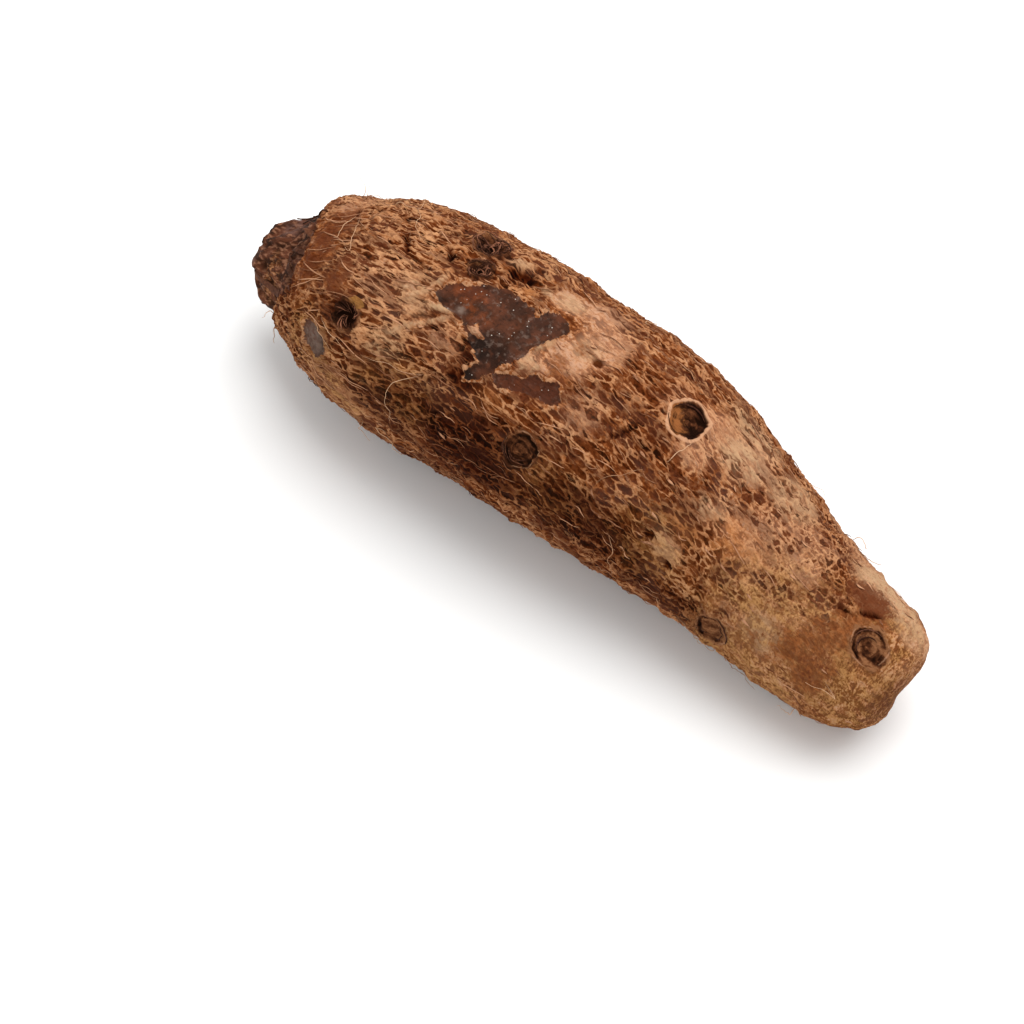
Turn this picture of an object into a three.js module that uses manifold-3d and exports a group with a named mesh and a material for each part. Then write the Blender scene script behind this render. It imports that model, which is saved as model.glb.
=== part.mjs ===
import * as THREE from 'three';
import { mergeVertices } from 'three/addons/utils/BufferGeometryUtils.js';
import Module from 'manifold-3d';

// Whole malanga corm lying on its side, in millimetres, +Z up, stalk end toward -X.
// Places on the skin are given as the distance from the stalk end along the centre line
// and the angle round it: 0 faces +Y, 90 is the top, 180 faces -Y, 270 lies on the table.

// Driving dimensions
const LENGTH = 240;
const SIDES = 75;
const RINGS = 52;
const TABLE_PRESS = 0.5;

// Radius of the plain skin: radius, distance along the centre line
const PROFILE = [
  [0, -2.5], [6.2, -2.2], [11.2, 0.3], [15, 6], [17.4, 11.5], [19.8, 16], [23.8, 21.5],
  [30.5, 37], [34, 56], [35.5, 86], [35.3, 118], [33.3, 146], [29, 172], [25, 198],
  [22.5, 216], [20.5, 228], [17, 235.5], [10.5, 238.6], [4, 238.9], [0, 238.4],
];

// Centre line: distance from the stalk end, sideways, height
const CENTRE_LINE = [
  [0, -3, 29], [30, -0.5, 32], [60, 1, 34.5], [90, 3.5, 35], [120, 5, 34.5],
  [150, 5.5, 32], [180, 3.5, 28], [210, 0.5, 24], [240, -1, 20.5],
];

// The thin end is cut askew and hollow: shares of the radius by which its rim is drawn back
const END_SLANT = { sideways: 0.24, upward: -0.21, hollow: 0.1, hollowAngle: 132, from: 187, to: 233 };

// Out-of-round lobes: share of the radius, how many, phase, turn per millimetre
const LOBES = [
  [0.02, 2, -0.8, 1 / 80],
  [0.014, 3, 1.1, -1 / 38],
];
const WAVES = { share: 0.007, length: 47, sway: 1.5 };

// Low swellings and dents: distance, angle, half width along, half width round, height
const SWELLINGS = [
  [19, 56, 6, 17, 3.3],
  [35, 40, 13, 14, 1.5],
  [58, 35, 16, 14, 1.2],
  [7, 205, 9, 26, 3.6],
  [108, 42, 12, 18, -1.2],
  [197, 42, 13, 18, -1.4],
  [236, 215, 9, 30, -3.4],
  [91, 72.5, 7, 4, -1.8],
  [92, 62, 9, 5, 1.3],
];
const SWELLING_RADIUS = 30;

// Scars that old leaves left round the corm
const SCARS = { spacing: 14.5, height: 0.7, sway: 3, wobble: 1.5, sharpness: 6 };

// Dark stub of the leaf stalk: where its ragged edge lies, and how deep it sits in the skin
const STUB = { edge: 15, lean: 7, leanAngle: 118, tooth: 2.4, teeth: 3, toothAngle: 128, depth: 2.2 };
const STUB_RIBS = { count: 9, height: 0.5, twist: 0.2 };
const STUB_HOLES = [
  [3.2, 128, 5],
  [5.5, 88, 3.6],
];
const STUB_HOLE_DEPTH = 2.4;

// Patches where the net has come off: distance, angle, half length, half width, turn
const PEELS = [
  [84, 101, 13, 8.5, -8],
  [98, 101, 11, 10, 0],
  [107, 93, 6.5, 7, 0],
  [97, 121, 7, 11, 0],
  [111, 122.5, 11.5, 4.2, -17],
  [130, 318, 17, 9, 20],
  [64, 236, 12, 8, -15],
];
const PEEL_DEPTH = 0.7;

// Raised net: depth of its cells, least and extra share of that depth, unevenness of the
// strands, and the share that is worn off toward the thin end
const NET = { depth: 1.2, least: 0.7, extra: 0.6, strand: 0.5, worn: 0.55, wornFrom: 165, wornTo: 205 };

// Eyes: distance, angle, width of the rim, height of the rim, height of the bud
const EYES = [
  [72.6, 64.2, 11, 1.0, 0.9],
  [77.3, 83.5, 7, 0.8, 0.6],
  [150.8, 88.6, 12.5, 0.9, 0.7],
  [118.9, 149.8, 10, 0.9, 0.8],
  [192, 176, 9.5, 0.8, 0.7],
  [225, 108.5, 10, 0.6, 0.5],
  [52.8, 138, 9, 0.7, 0.3],
  [34, 226, 9, 0.9, 0.9],
  [96, 334, 11, 0.9, 0.8],
  [128, 222, 10, 0.9, 0.7],
  [163, 346, 10.5, 0.9, 0.8],
  [186, 318, 9, 0.8, 0.7],
  [208, 238, 9, 0.8, 0.8],
];
// Round each eye the skin swells a little and dips in the middle; the rim stands on it
const EYE_DIP = { swell: 0.6, swellReach: 1.5, dip: 1.7, dipReach: 0.75, brim: 1.4 };
const EYE_ROOT = 2;

// Smaller round pits: distance, angle, width
const PITS = [
  [122.2, 94.3, 4.2],
  [163.6, 147.6, 4.2],
  [105, 24, 4.6],
  [146, 12, 4.2],
];
const PIT_DEPTH = 0.9;

// Pointed bud beside the eye near the stalk end
const BUD = { distance: 54.4, angle: 130.5, width: 5.4, height: 2.6 };

// Raised and sunk detail fades out where the corm is thinner than this radius
const DETAIL_RADIUS = 12;

const DEGREE = Math.PI / 180;
const { smoothstep, clamp } = THREE.MathUtils;

const wasm = await Module();
wasm.setup();

const profile = new THREE.SplineCurve(PROFILE.map(([r, d]) => new THREE.Vector2(r, d)));
const centreLine = new THREE.CatmullRomCurve3(
  CENTRE_LINE.map(([x, y, z]) => new THREE.Vector3(x, y, z)),
  false,
  'catmullrom',
  0.5,
);

// Smallest signed difference between two angles
function turnBetween(angle, other) {
  return Math.atan2(Math.sin(angle - other), Math.cos(angle - other));
}

// Fixed chance value from 0 to 1 for a pair of numbers
function chance(first, second) {
  const value = Math.sin(first * 12.9898 + second * 78.233) * 43758.5453;
  return value - Math.floor(value);
}

// Radius of the plain skin at a distance from the stalk end, found by halving
function plainRadius(distance) {
  let low = 0;
  let high = 1;
  for (let step = 0; step < 40; step += 1) {
    const middle = (low + high) / 2;
    if (profile.getPoint(middle).y < distance) low = middle;
    else high = middle;
  }
  return profile.getPoint(low).x;
}

// 1 inside a soft-edged oval patch of the skin, 0 outside it
function patchShare(distance, angle, radius, [centre, around, halfLength, halfWidth, turn]) {
  const along = distance - centre;
  const across = turnBetween(angle, around * DEGREE) * Math.max(radius, 10);
  const c = Math.cos(turn * DEGREE);
  const s = Math.sin(turn * DEGREE);
  const first = (along * c + across * s) / halfLength;
  const second = (across * c - along * s) / halfWidth;
  return 1 - smoothstep(Math.hypot(first, second), 0.85, 1.1);
}

// 1 where the net has come off, 0 elsewhere
function peeledShare(distance, angle, radius) {
  return Math.max(...PEELS.map((peel) => patchShare(distance, angle, radius, peel)));
}

// Distance from the middle of an eye, as a share of the radius of its rim
function eyeReach(distance, angle, radius, [centre, around, width]) {
  const across = turnBetween(angle, around * DEGREE) * radius;
  return Math.hypot(distance - centre, across) / (width / 2);
}

// 1 on the dark stub, 0 on the skin
function stubShare(distance, angle) {
  const lean = STUB.lean * Math.cos(angle - STUB.leanAngle * DEGREE);
  const tooth = STUB.tooth * Math.cos(STUB.teeth * (angle - STUB.toothAngle * DEGREE));
  const edge = STUB.edge + lean + tooth;
  return 1 - smoothstep(distance, edge - 1.5, edge + 1.5);
}

// Height of the leaf scars, which run round the corm in slightly wavy rings
function scarHeight(distance, angle) {
  const sway = SCARS.sway * Math.sin(angle + 0.6) + SCARS.wobble * Math.sin(2 * angle);
  const ring = Math.cos(2 * Math.PI * (distance + sway) / SCARS.spacing);
  return SCARS.height * Math.max(0, ring) ** SCARS.sharpness;
}

// Radius of the uneven skin without its net
function skinRadius(distance, angle, radius) {
  const wave = 2 * Math.PI * distance / WAVES.length + WAVES.sway * Math.sin(angle);
  let round = 1 + WAVES.share * Math.sin(wave);
  for (const [share, lobes, phase, twist] of LOBES) {
    round += share * Math.cos(lobes * angle + phase + twist * distance);
  }
  let raised = 0;
  for (const [centre, around, halfLength, halfWidth, height] of SWELLINGS) {
    const along = (distance - centre) / halfLength;
    const across = turnBetween(angle, around * DEGREE) * SWELLING_RADIUS / halfWidth;
    raised += height * Math.exp(-along * along - across * across);
  }
  const stub = stubShare(distance, angle);
  const ribs = STUB_RIBS.height * Math.cos(STUB_RIBS.count * angle + STUB_RIBS.twist * distance);
  raised += scarHeight(distance, angle) * (1 - stub);
  raised += (ribs - STUB.depth) * stub;
  raised -= PEEL_DEPTH * peeledShare(distance, angle, radius);
  for (const eye of EYES) {
    const reach = eyeReach(distance, angle, radius, eye);
    raised += EYE_DIP.swell * Math.exp(-((reach / EYE_DIP.swellReach) ** 2));
    raised -= EYE_DIP.dip * Math.exp(-((reach / EYE_DIP.dipReach) ** 4));
  }
  return radius * round + raised * clamp(radius / DETAIL_RADIUS, 0, 1);
}

// Point at a distance, angle and radius round the bent centre line
function pointAt(distance, angle, radius) {
  const lean = END_SLANT.sideways * Math.cos(angle)
    + END_SLANT.upward * Math.sin(angle)
    + END_SLANT.hollow * Math.cos(2 * (angle - END_SLANT.hollowAngle * DEGREE));
  const shifted = distance - smoothstep(distance, END_SLANT.from, END_SLANT.to) * radius * lean;
  const inside = clamp(shifted, 0, LENGTH);
  const along = centreLine.getTangent(inside / LENGTH);
  const side = new THREE.Vector3(0, 0, 1).cross(along).normalize();
  const up = along.clone().cross(side);
  return centreLine.getPoint(inside / LENGTH)
    .addScaledVector(along, shifted - inside)
    .addScaledVector(side, radius * Math.cos(angle))
    .addScaledVector(up, radius * Math.sin(angle));
}

// Point on the uneven skin without its net
function skinPoint(distance, angle) {
  const radius = plainRadius(distance);
  return pointAt(distance, angle, skinRadius(distance, angle, radius));
}

// Closed solid from a surface whose seams are joined and whose collapsed faces are left out
function solidFrom(geometry) {
  geometry.deleteAttribute('normal');
  geometry.deleteAttribute('uv');
  const joined = mergeVertices(geometry, 1e-4);
  const corners = joined.index.array;
  const faces = [];
  for (let start = 0; start < corners.length; start += 3) {
    const [a, b, c] = corners.slice(start, start + 3);
    if (a !== b && b !== c && c !== a) faces.push(a, b, c);
  }
  return new wasm.Manifold(new wasm.Mesh({
    numProp: 3,
    vertProperties: Float32Array.from(joined.attributes.position.array),
    triVerts: Uint32Array.from(faces),
  }));
}

// Depth of the net at one vertex: every third vertex is the middle of a cell, in
// staggered rows, so that the vertices between them stand up as a net of six-sided cells
function netDepth(column, row, distance, angle, radius, height) {
  const middle = (column - row + 3 * RINGS) % 3 === 0;
  const cell = NET.least + NET.extra * chance(column, row);
  const strand = NET.strand * chance(column, row);
  let bare = Math.max(stubShare(distance, angle), peeledShare(distance, angle, radius));
  for (const eye of EYES) {
    bare = Math.max(bare, 1 - smoothstep(eyeReach(distance, angle, radius, eye), 1, 1.7));
  }
  const left = 1 - NET.worn * smoothstep(distance, NET.wornFrom, NET.wornTo);
  const offTable = smoothstep(height, TABLE_PRESS, 4);
  const offEnds = smoothstep(distance, 4, 12) * (1 - smoothstep(distance, 226, 236));
  return NET.depth * (middle ? cell : strand) * (1 - bare) * left * offTable * offEnds;
}

// Skin with its net: turned from the profile, then each vertex is raised or sunk and
// carried to the bent centre line
function makeSkin() {
  const rings = profile.getSpacedPoints(RINGS);
  const skin = new THREE.LatheGeometry(rings, SIDES);
  const position = skin.attributes.position;
  for (let side = 0; side <= SIDES; side += 1) {
    const column = side % SIDES;
    rings.forEach((ring, row) => {
      const angle = (column + row / 2) * 2 * Math.PI / SIDES;
      const plain = skinRadius(ring.y, angle, ring.x);
      const height = pointAt(ring.y, angle, plain).z;
      const depth = netDepth(column, row, ring.y, angle, ring.x, height);
      const point = pointAt(ring.y, angle, plain - depth);
      position.setXYZ(side * rings.length + row, point.x, point.y, point.z);
    });
  }
  return solidFrom(skin);
}

// Roughly round solid from radius and height pairs, standing on the skin at a distance and
// angle; its radius wanders by the given share and its top is lower toward the thin end
function standing(outline, segments, distance, angleDegrees, share, droop = 0) {
  const angle = angleDegrees * DEGREE;
  const round = new THREE.LatheGeometry(outline.map(([r, h]) => new THREE.Vector2(r, h)), segments);
  const position = round.attributes.position;
  for (let index = 0; index < position.count; index += 1) {
    const segment = Math.floor(index / outline.length) % segments;
    const turn = segment * 2 * Math.PI / segments;
    const wander = chance(segment, distance);
    const [plain, height] = outline[index % outline.length];
    const radius = plain * (1 + share * (2 * wander - 1));
    const uneven = plain > 0 ? 0.5 + 0.5 * Math.cos(turn) + wander : 1;
    const lower = height > 0 ? 1 - droop * uneven : 1;
    position.setXYZ(index, radius * Math.sin(turn), height * lower, radius * Math.cos(turn));
  }
  const step = 1.5;
  const reach = step / Math.max(plainRadius(distance), 6);
  const along = skinPoint(distance + step, angle).sub(skinPoint(distance - step, angle)).normalize();
  const around = skinPoint(distance, angle + reach).sub(skinPoint(distance, angle - reach));
  const outward = around.cross(along).normalize();
  const across = outward.clone().cross(along);
  const place = new THREE.Matrix4().makeBasis(across, outward, along);
  place.setPosition(skinPoint(distance, angle));
  round.applyMatrix4(place);
  return solidFrom(round);
}

// Shallow bowl cut into the skin
function bowl(width, depth, distance, angle) {
  const r = width / 2;
  const outline = [[0, -depth], [0.6 * r, -0.85 * depth], [r, 0.15], [r, 3], [0, 3]];
  return standing(outline, 9, distance, angle, 0.12);
}

// Rim of an eye: an uneven ring rooted in the skin
function eyeRim([distance, angle, width, height]) {
  const r = width / 2;
  const top = EYE_DIP.brim + height;
  const foot = [0.9 * r, -EYE_ROOT];
  const outline = [foot, [r, EYE_DIP.brim - 0.4], [0.84 * r, top], [0.62 * r, -EYE_ROOT], foot];
  return standing(outline, 13, distance, angle, 0.1, 0.22);
}

// Bud in the middle of an eye
function eyeBud([distance, angle, width, , height]) {
  const r = width / 2;
  const top = 0.8 + height;
  const outline = [[0, -EYE_ROOT], [0.46 * r, -EYE_ROOT], [0.2 * r, top], [0, top]];
  return standing(outline, 7, distance, angle, 0.25, 0.2);
}

// Pointed bud that stands beside an eye
function sideBud({ distance, angle, width, height }) {
  const r = width / 2;
  const outline = [[0, -EYE_ROOT], [r, -EYE_ROOT], [0.85 * r, 0.9], [0.35 * r, height], [0, height]];
  return standing(outline, 8, distance, angle, 0.15);
}

// Whole corm, with a flat where it lies on the table
function makeCorm() {
  let corm = makeSkin();
  for (const eye of EYES) {
    corm = corm.add(eyeRim(eye)).add(eyeBud(eye));
  }
  for (const [distance, angle, width] of PITS) {
    corm = corm.subtract(bowl(width, PIT_DEPTH, distance, angle));
  }
  for (const [distance, angle, width] of STUB_HOLES) {
    corm = corm.subtract(bowl(width, STUB_HOLE_DEPTH, distance, angle));
  }
  corm = corm.add(sideBud(BUD));
  const table = new THREE.BoxGeometry(2 * LENGTH, LENGTH, 20);
  table.translate(LENGTH / 2, 0, TABLE_PRESS - 10);
  return corm.subtract(solidFrom(table));
}

// Mesh whose origin is the middle of the underside of its box
function makeMesh(solid, name, material) {
  const { vertProperties, triVerts } = solid.getMesh();
  const geometry = new THREE.BufferGeometry();
  geometry.setAttribute('position', new THREE.BufferAttribute(vertProperties, 3));
  geometry.setIndex(new THREE.BufferAttribute(triVerts, 1));
  geometry.computeBoundingBox();
  const { min, max } = geometry.boundingBox;
  geometry.translate(-(min.x + max.x) / 2, -(min.y + max.y) / 2, -min.z);
  geometry.computeVertexNormals();
  const mesh = new THREE.Mesh(geometry, material);
  mesh.name = name;
  return mesh;
}

const skinMaterial = new THREE.MeshStandardMaterial({
  color: '#6f4733',
  roughness: 0.72,
  metalness: 0,
});

const malanga = new THREE.Group();
malanga.name = 'malanga_part';
malanga.add(makeMesh(makeCorm(), 'malanga', skinMaterial));

export default malanga;
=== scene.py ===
"""Whole malanga corm lying on its side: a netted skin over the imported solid, with its eyes,
husks, loose fibres and root hairs. The classes work in millimetres; meshes are in metres."""

import logging
import math
from dataclasses import dataclass, field
from enum import Enum

import bpy
import numpy as np
from mathutils import Matrix


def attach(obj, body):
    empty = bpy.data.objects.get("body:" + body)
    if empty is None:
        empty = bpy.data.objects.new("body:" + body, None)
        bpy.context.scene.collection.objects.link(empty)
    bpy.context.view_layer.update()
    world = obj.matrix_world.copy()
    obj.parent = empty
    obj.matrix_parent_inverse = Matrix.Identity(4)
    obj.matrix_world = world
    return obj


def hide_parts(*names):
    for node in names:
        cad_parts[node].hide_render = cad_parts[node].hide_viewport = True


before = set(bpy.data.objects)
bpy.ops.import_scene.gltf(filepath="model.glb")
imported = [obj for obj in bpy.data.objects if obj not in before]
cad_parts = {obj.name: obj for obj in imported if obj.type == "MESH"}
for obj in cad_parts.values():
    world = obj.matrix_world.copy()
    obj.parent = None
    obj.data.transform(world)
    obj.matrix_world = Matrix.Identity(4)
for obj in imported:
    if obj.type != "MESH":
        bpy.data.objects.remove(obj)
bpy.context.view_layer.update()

logging.basicConfig(level=logging.INFO, format="%(message)s")
LOG = logging.getLogger("malanga")

MM = 0.001
DEGREE = math.pi / 180

Socket = bpy.types.NodeSocket
Colour = tuple[float, float, float, float]


# Helpers for numbers and shapes


def smooth(value: np.ndarray, low: float, high: float) -> np.ndarray:
    """Soft step from 0 at low to 1 at high.

    Args:
        value: numbers to pass through the step.
        low: where the step starts.
        high: where the step ends.

    Returns:
        3t squared less 2t cubed, where t is the clipped share between low and high.
    """
    share = np.clip((value - low) / (high - low), 0, 1)
    return share * share * (3 - 2 * share)


def turn_between(angle: np.ndarray, other: float) -> np.ndarray:
    """Smallest signed difference between two angles, in radians.

    Args:
        angle: angles round the corm.
        other: angle that they are measured from.

    Returns:
        The differences, from minus half a turn to half a turn.
    """
    return np.arctan2(np.sin(angle - other), np.cos(angle - other))


def spline(points: tuple, share: np.ndarray, mirrored: bool) -> np.ndarray:
    """Even Catmull-Rom curve through points.

    Args:
        points: the points that the curve passes through.
        share: places on the curve, from 0 to 1, with equal steps between points.
        mirrored: whether the ends are mirrored; otherwise they are repeated.

    Returns:
        The cubic in each span whose slopes are half the chord of the neighbours.
    """
    knots = np.asarray(points, float)
    first = 2 * knots[0] - knots[1] if mirrored else knots[0]
    last = 2 * knots[-1] - knots[-2] if mirrored else knots[-1]
    knots = np.vstack([first, knots, last])
    place = np.clip(share, 0, 1) * (len(points) - 1)
    span = np.minimum(np.floor(place).astype(int), len(points) - 2)
    t = (place - span)[..., None]
    before, start, end, after = (knots[span + step] for step in range(4))
    leave, arrive = (end - before) / 2, (after - start) / 2
    cubic = (2 * start - 2 * end + leave + arrive) * t**3
    square = (3 * end - 3 * start - 2 * leave - arrive) * t**2
    return cubic + square + leave * t + start


def unit(vectors: np.ndarray) -> np.ndarray:
    """Vectors of length one in the same directions."""
    return vectors / np.maximum(np.linalg.norm(vectors, axis=-1, keepdims=True), 1e-9)


def facing_out(points: np.ndarray, faces: list) -> list:
    """Turns the faces of closed shells round if their volume is negative.

    Args:
        points: corner positions.
        faces: corner numbers of each face, three or four.

    Returns:
        The faces with their outer sides outward.
    """
    corners = [face[:3] for face in faces] + [[f[0], f[2], f[3]] for f in faces if len(f) == 4]
    a, b, c = points[np.array(corners).T]
    volume = np.einsum("ij,ij->i", a, np.cross(b, c)).sum()
    return faces if volume > 0 else [face[::-1] for face in faces]


def make_piece(
    name: str,
    points: np.ndarray,
    faces: list,
    material: bpy.types.Material,
    attributes: dict[str, np.ndarray],
) -> bpy.types.Object:
    """Writes one piece of the corm and lets it ride on the corm's body.

    Args:
        name: name of the piece.
        points: corner positions in millimetres.
        faces: corner numbers of each face.
        material: finish of the piece.
        attributes: a number or a vector for each corner, by name.

    Returns:
        The new object, at the origin, with its place in its mesh.
    """
    mesh = bpy.data.meshes.new(name)
    mesh.from_pydata((points * MM).tolist(), [], facing_out(points, faces))
    mesh.polygons.foreach_set("use_smooth", np.ones(len(mesh.polygons), bool))
    for label, values in attributes.items():
        vector = values.ndim == 2
        kind = "FLOAT_VECTOR" if vector else "FLOAT"
        layer = mesh.attributes.new(label, kind, "POINT")
        layer.data.foreach_set("vector" if vector else "value", values.astype(np.float32).ravel())
    mesh.materials.append(material)
    piece = bpy.data.objects.new(name, mesh)
    bpy.context.scene.collection.objects.link(piece)
    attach(piece, "root")
    LOG.info("%s: %d faces", name, len(mesh.polygons))
    return piece


def sweep(
    paths: np.ndarray,
    outward: np.ndarray,
    half_width: np.ndarray,
    half_height: np.ndarray,
    sides: int,
    curl: float = 0.0,
) -> tuple[np.ndarray, list]:
    """Closed strips: an oval section carried along each path.

    A section point is the path point, plus across times half width times cos(turn), plus up
    times half height times sin(turn), plus up times curl times half width times cos(turn)
    squared, so that a curled strip is hollow like a dry leaf.

    Args:
        paths: strip, step and position, in millimetres.
        outward: direction away from the skin at each path point.
        half_width: half the width of each section along the skin.
        half_height: half the thickness of each section.
        sides: number of corners of a section.
        curl: how far the long edges turn up, as a share of the half width.

    Returns:
        The corner positions, and the corner numbers of each face.
    """
    count, steps = paths.shape[:2]
    along = unit(np.gradient(paths, axis=1))
    across = unit(np.cross(along, outward))
    up = np.cross(across, along)
    turn = 2 * math.pi * np.arange(sides) / sides
    wide = half_width[..., None] * np.cos(turn)
    high = half_height[..., None] * np.sin(turn) + curl * half_width[..., None] * np.cos(turn) ** 2
    rings = paths[:, :, None] + across[:, :, None] * wide[..., None] + up[:, :, None] * high[..., None]
    tips = np.stack([paths[:, 0] * 1.5 - paths[:, 1] * 0.5, paths[:, -1] * 1.5 - paths[:, -2] * 0.5], 1)
    points = np.concatenate([rings.reshape(count, -1, 3), tips], 1)
    base = np.arange(count)[:, None, None] * (steps * sides + 2)
    row = np.arange(steps - 1)[None, :, None] * sides
    side = np.arange(sides)[None, None, :]
    after = (side + 1) % sides
    quads = np.stack([base + row + side, base + row + after, base + row + sides + after,
                      base + row + sides + side], -1).reshape(-1, 4)
    base, side, after = base[:, 0], side[0], after[0]
    last = (steps - 1) * sides
    tip = base + steps * sides + 0 * side
    start = np.stack([tip, base + after, base + side], -1).reshape(-1, 3)
    end = np.stack([tip + 1, base + last + side, base + last + after], -1).reshape(-1, 3)
    return points.reshape(-1, 3), quads.tolist() + start.tolist() + end.tolist()


def along_strip(count: int, steps: int, sides: int) -> np.ndarray:
    """Share of the way along its strip for each corner that sweep makes."""
    rings = np.repeat(np.linspace(0, 1, steps), sides)
    return np.tile(np.concatenate([rings, [0, 1]]), count)


def per_strip(values: np.ndarray, steps: int, sides: int) -> np.ndarray:
    """One value for each strip, repeated for each corner that sweep makes."""
    return np.repeat(values, steps * sides + 2)


# Helpers for materials


def paint(red: float, green: float, blue: float) -> Colour:
    """Colour for a shader from red, green and blue levels of a screen, 0 to 255."""
    levels = [level / 255 for level in (red, green, blue)]
    light = [v / 12.92 if v <= 0.04045 else ((v + 0.055) / 1.055) ** 2.4 for v in levels]
    return (light[0], light[1], light[2], 1.0)


class Wiring:
    """Adds nodes to one tree and joins them, so that a pattern reads like its formula."""

    def __init__(self, tree: bpy.types.NodeTree) -> None:
        """Keeps the tree that the nodes go into."""
        self.tree = tree

    def feed(self, socket: Socket, value: object) -> None:
        """Joins a socket to the value, or sets the value on it."""
        if isinstance(value, bpy.types.NodeSocket):
            self.tree.links.new(value, socket)
        else:
            socket.default_value = value

    def add(self, kind: str, settings: dict | None = None, feeds: dict | None = None) -> bpy.types.Node:
        """Adds one node.

        Args:
            kind: Blender's name for the kind of node.
            settings: its properties, by name.
            feeds: what goes into its inputs, by name or number.

        Returns:
            The new node.
        """
        node = self.tree.nodes.new(kind)
        for name, value in (settings or {}).items():
            setattr(node, name, value)
        for name, value in (feeds or {}).items():
            self.feed(node.inputs[name], value)
        return node

    def math(self, operation: str, *values: object) -> Socket:
        """Result of a Math node on one to three values."""
        node = self.add("ShaderNodeMath", {"operation": operation}, dict(enumerate(values)))
        return node.outputs[0]

    def vector(self, operation: str, *values: object) -> Socket:
        """Result of a Vector Math node on one or two vectors."""
        node = self.add("ShaderNodeVectorMath", {"operation": operation}, dict(enumerate(values)))
        return node.outputs["Value" if operation == "LENGTH" else "Vector"]

    def scaled(self, vector: Socket, amount: object) -> Socket:
        """A vector times one number."""
        feeds = {"Vector": vector, "Scale": amount}
        return self.add("ShaderNodeVectorMath", {"operation": "SCALE"}, feeds).outputs["Vector"]

    def split(self, vector: Socket) -> tuple[Socket, Socket, Socket]:
        """The three parts of a vector."""
        parts = self.add("ShaderNodeSeparateXYZ", None, {0: vector}).outputs
        return parts[0], parts[1], parts[2]

    def joined(self, x: object, y: object, z: object) -> Socket:
        """A vector from its three parts."""
        return self.add("ShaderNodeCombineXYZ", None, {0: x, 1: y, 2: z}).outputs[0]

    def step(self, value: Socket, low: object, high: object, to_low: float = 0.0, to_high: float = 1.0) -> Socket:
        """Soft step of a value.

        Args:
            value: what is stepped.
            low: where the step starts.
            high: where the step ends.
            to_low: result before the step.
            to_high: result after the step.

        Returns:
            The stepped value.
        """
        feeds = {0: value, 1: low, 2: high, 3: to_low, 4: to_high}
        return self.add("ShaderNodeMapRange", {"interpolation_type": "SMOOTHSTEP"}, feeds).outputs[0]

    def noise(self, vector: Socket, scale: float, detail: float = 2.0, output: str = "Fac") -> Socket:
        """Cloudy noise, from about 0.25 to 0.75 round a middle of one half."""
        feeds = {"Vector": vector, "Scale": scale, "Detail": detail, "Roughness": 0.55}
        return self.add("ShaderNodeTexNoise", None, feeds).outputs[output]

    def swing(self, vector: Socket, scale: float, amount: float, detail: float = 2.0) -> Socket:
        """Noise round zero, times an amount."""
        centred = self.math("SUBTRACT", self.noise(vector, scale, detail), 0.5)
        return self.math("MULTIPLY", centred, amount)

    def cells(self, vector: Socket, scale: object, feature: str, output: str) -> Socket:
        """One output of cells grown round scattered points."""
        node = self.add("ShaderNodeTexVoronoi", {"feature": feature}, {"Vector": vector, "Scale": scale})
        return node.outputs[output]

    def blend(self, share: object, first: object, second: object) -> Socket:
        """Number part of the way from the first to the second."""
        feeds = {0: share, 2: first, 3: second}
        return self.add("ShaderNodeMix", {"data_type": "FLOAT"}, feeds).outputs[0]

    def tint(self, share: object, first: object, second: object, way: str = "MIX") -> Socket:
        """Colour part of the way from the first to the second."""
        settings = {"data_type": "RGBA", "blend_type": way}
        return self.add("ShaderNodeMix", settings, {0: share, 6: first, 7: second}).outputs[2]

    def ramp(self, value: Socket, stops: tuple[tuple[float, Colour], ...]) -> Socket:
        """Colour for a value, from places and colours in rising order."""
        node = self.add("ShaderNodeValToRGB", None, {0: value})
        elements = node.color_ramp.elements
        while len(elements) < len(stops):
            elements.new(0.5)
        for element, (place, colour) in zip(elements, stops):
            element.position = place
            element.color = colour
        return node.outputs["Color"]

    def attribute(self, name: str, output: str = "Fac") -> Socket:
        """A value that the mesh carries at its corners."""
        settings = {"attribute_type": "GEOMETRY", "attribute_name": name}
        return self.add("ShaderNodeAttribute", settings).outputs[output]


def new_material(name: str) -> tuple[bpy.types.Material, Wiring, bpy.types.Node]:
    """An empty material.

    Args:
        name: name of the finish.

    Returns:
        The material, the wiring of its nodes, and its Principled shader.
    """
    material = bpy.data.materials.new(name)
    material.use_nodes = True
    wiring = Wiring(material.node_tree)
    return material, wiring, material.node_tree.nodes["Principled BSDF"]


# Where things lie on the skin


class Tone(Enum):
    """Kinds of colour that lie over the net in soft patches; the dark tone is partly painted shade."""

    PALE = 0
    GREY = 1
    DARK = 2
    ORANGE = 3
    OLIVE = 4
    SMEAR = 5
    GLINT = 6
    ARCS = 7
    STUB = 8
    SMOOTH = 9
    TIP = 10
    RED = 11


class EyeKind(Enum):
    """How an eye of the corm looks."""

    NEST = "deep and full of dark fibres"
    CLEAN = "thin pale rim round a bud"
    WHORL = "low rings round a sunk middle"
    HOLE = "dark hole"


@dataclass(frozen=True)
class Spot:
    """Soft oval on the skin: place, half sizes in millimetres, turn in degrees, strength."""

    distance: float
    angle: float
    half_length: float
    half_width: float
    turn: float = 0.0
    strength: float = 1.0

    def reach(self, distance: np.ndarray, angle: np.ndarray, radius: np.ndarray) -> np.ndarray:
        """Distance from the middle of the oval, as a share of its half sizes.

        Args:
            distance: distances from the stalk end.
            angle: angles round the corm, in radians.
            radius: radii of the plain skin there.

        Returns:
            The length of the turned offset after each part is divided by its half size.
        """
        along = distance - self.distance
        across = turn_between(angle, self.angle * DEGREE) * np.maximum(radius, 10)
        c, s = math.cos(self.turn * DEGREE), math.sin(self.turn * DEGREE)
        first = (along * c + across * s) / self.half_length
        second = (across * c - along * s) / self.half_width
        return np.hypot(first, second)


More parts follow.
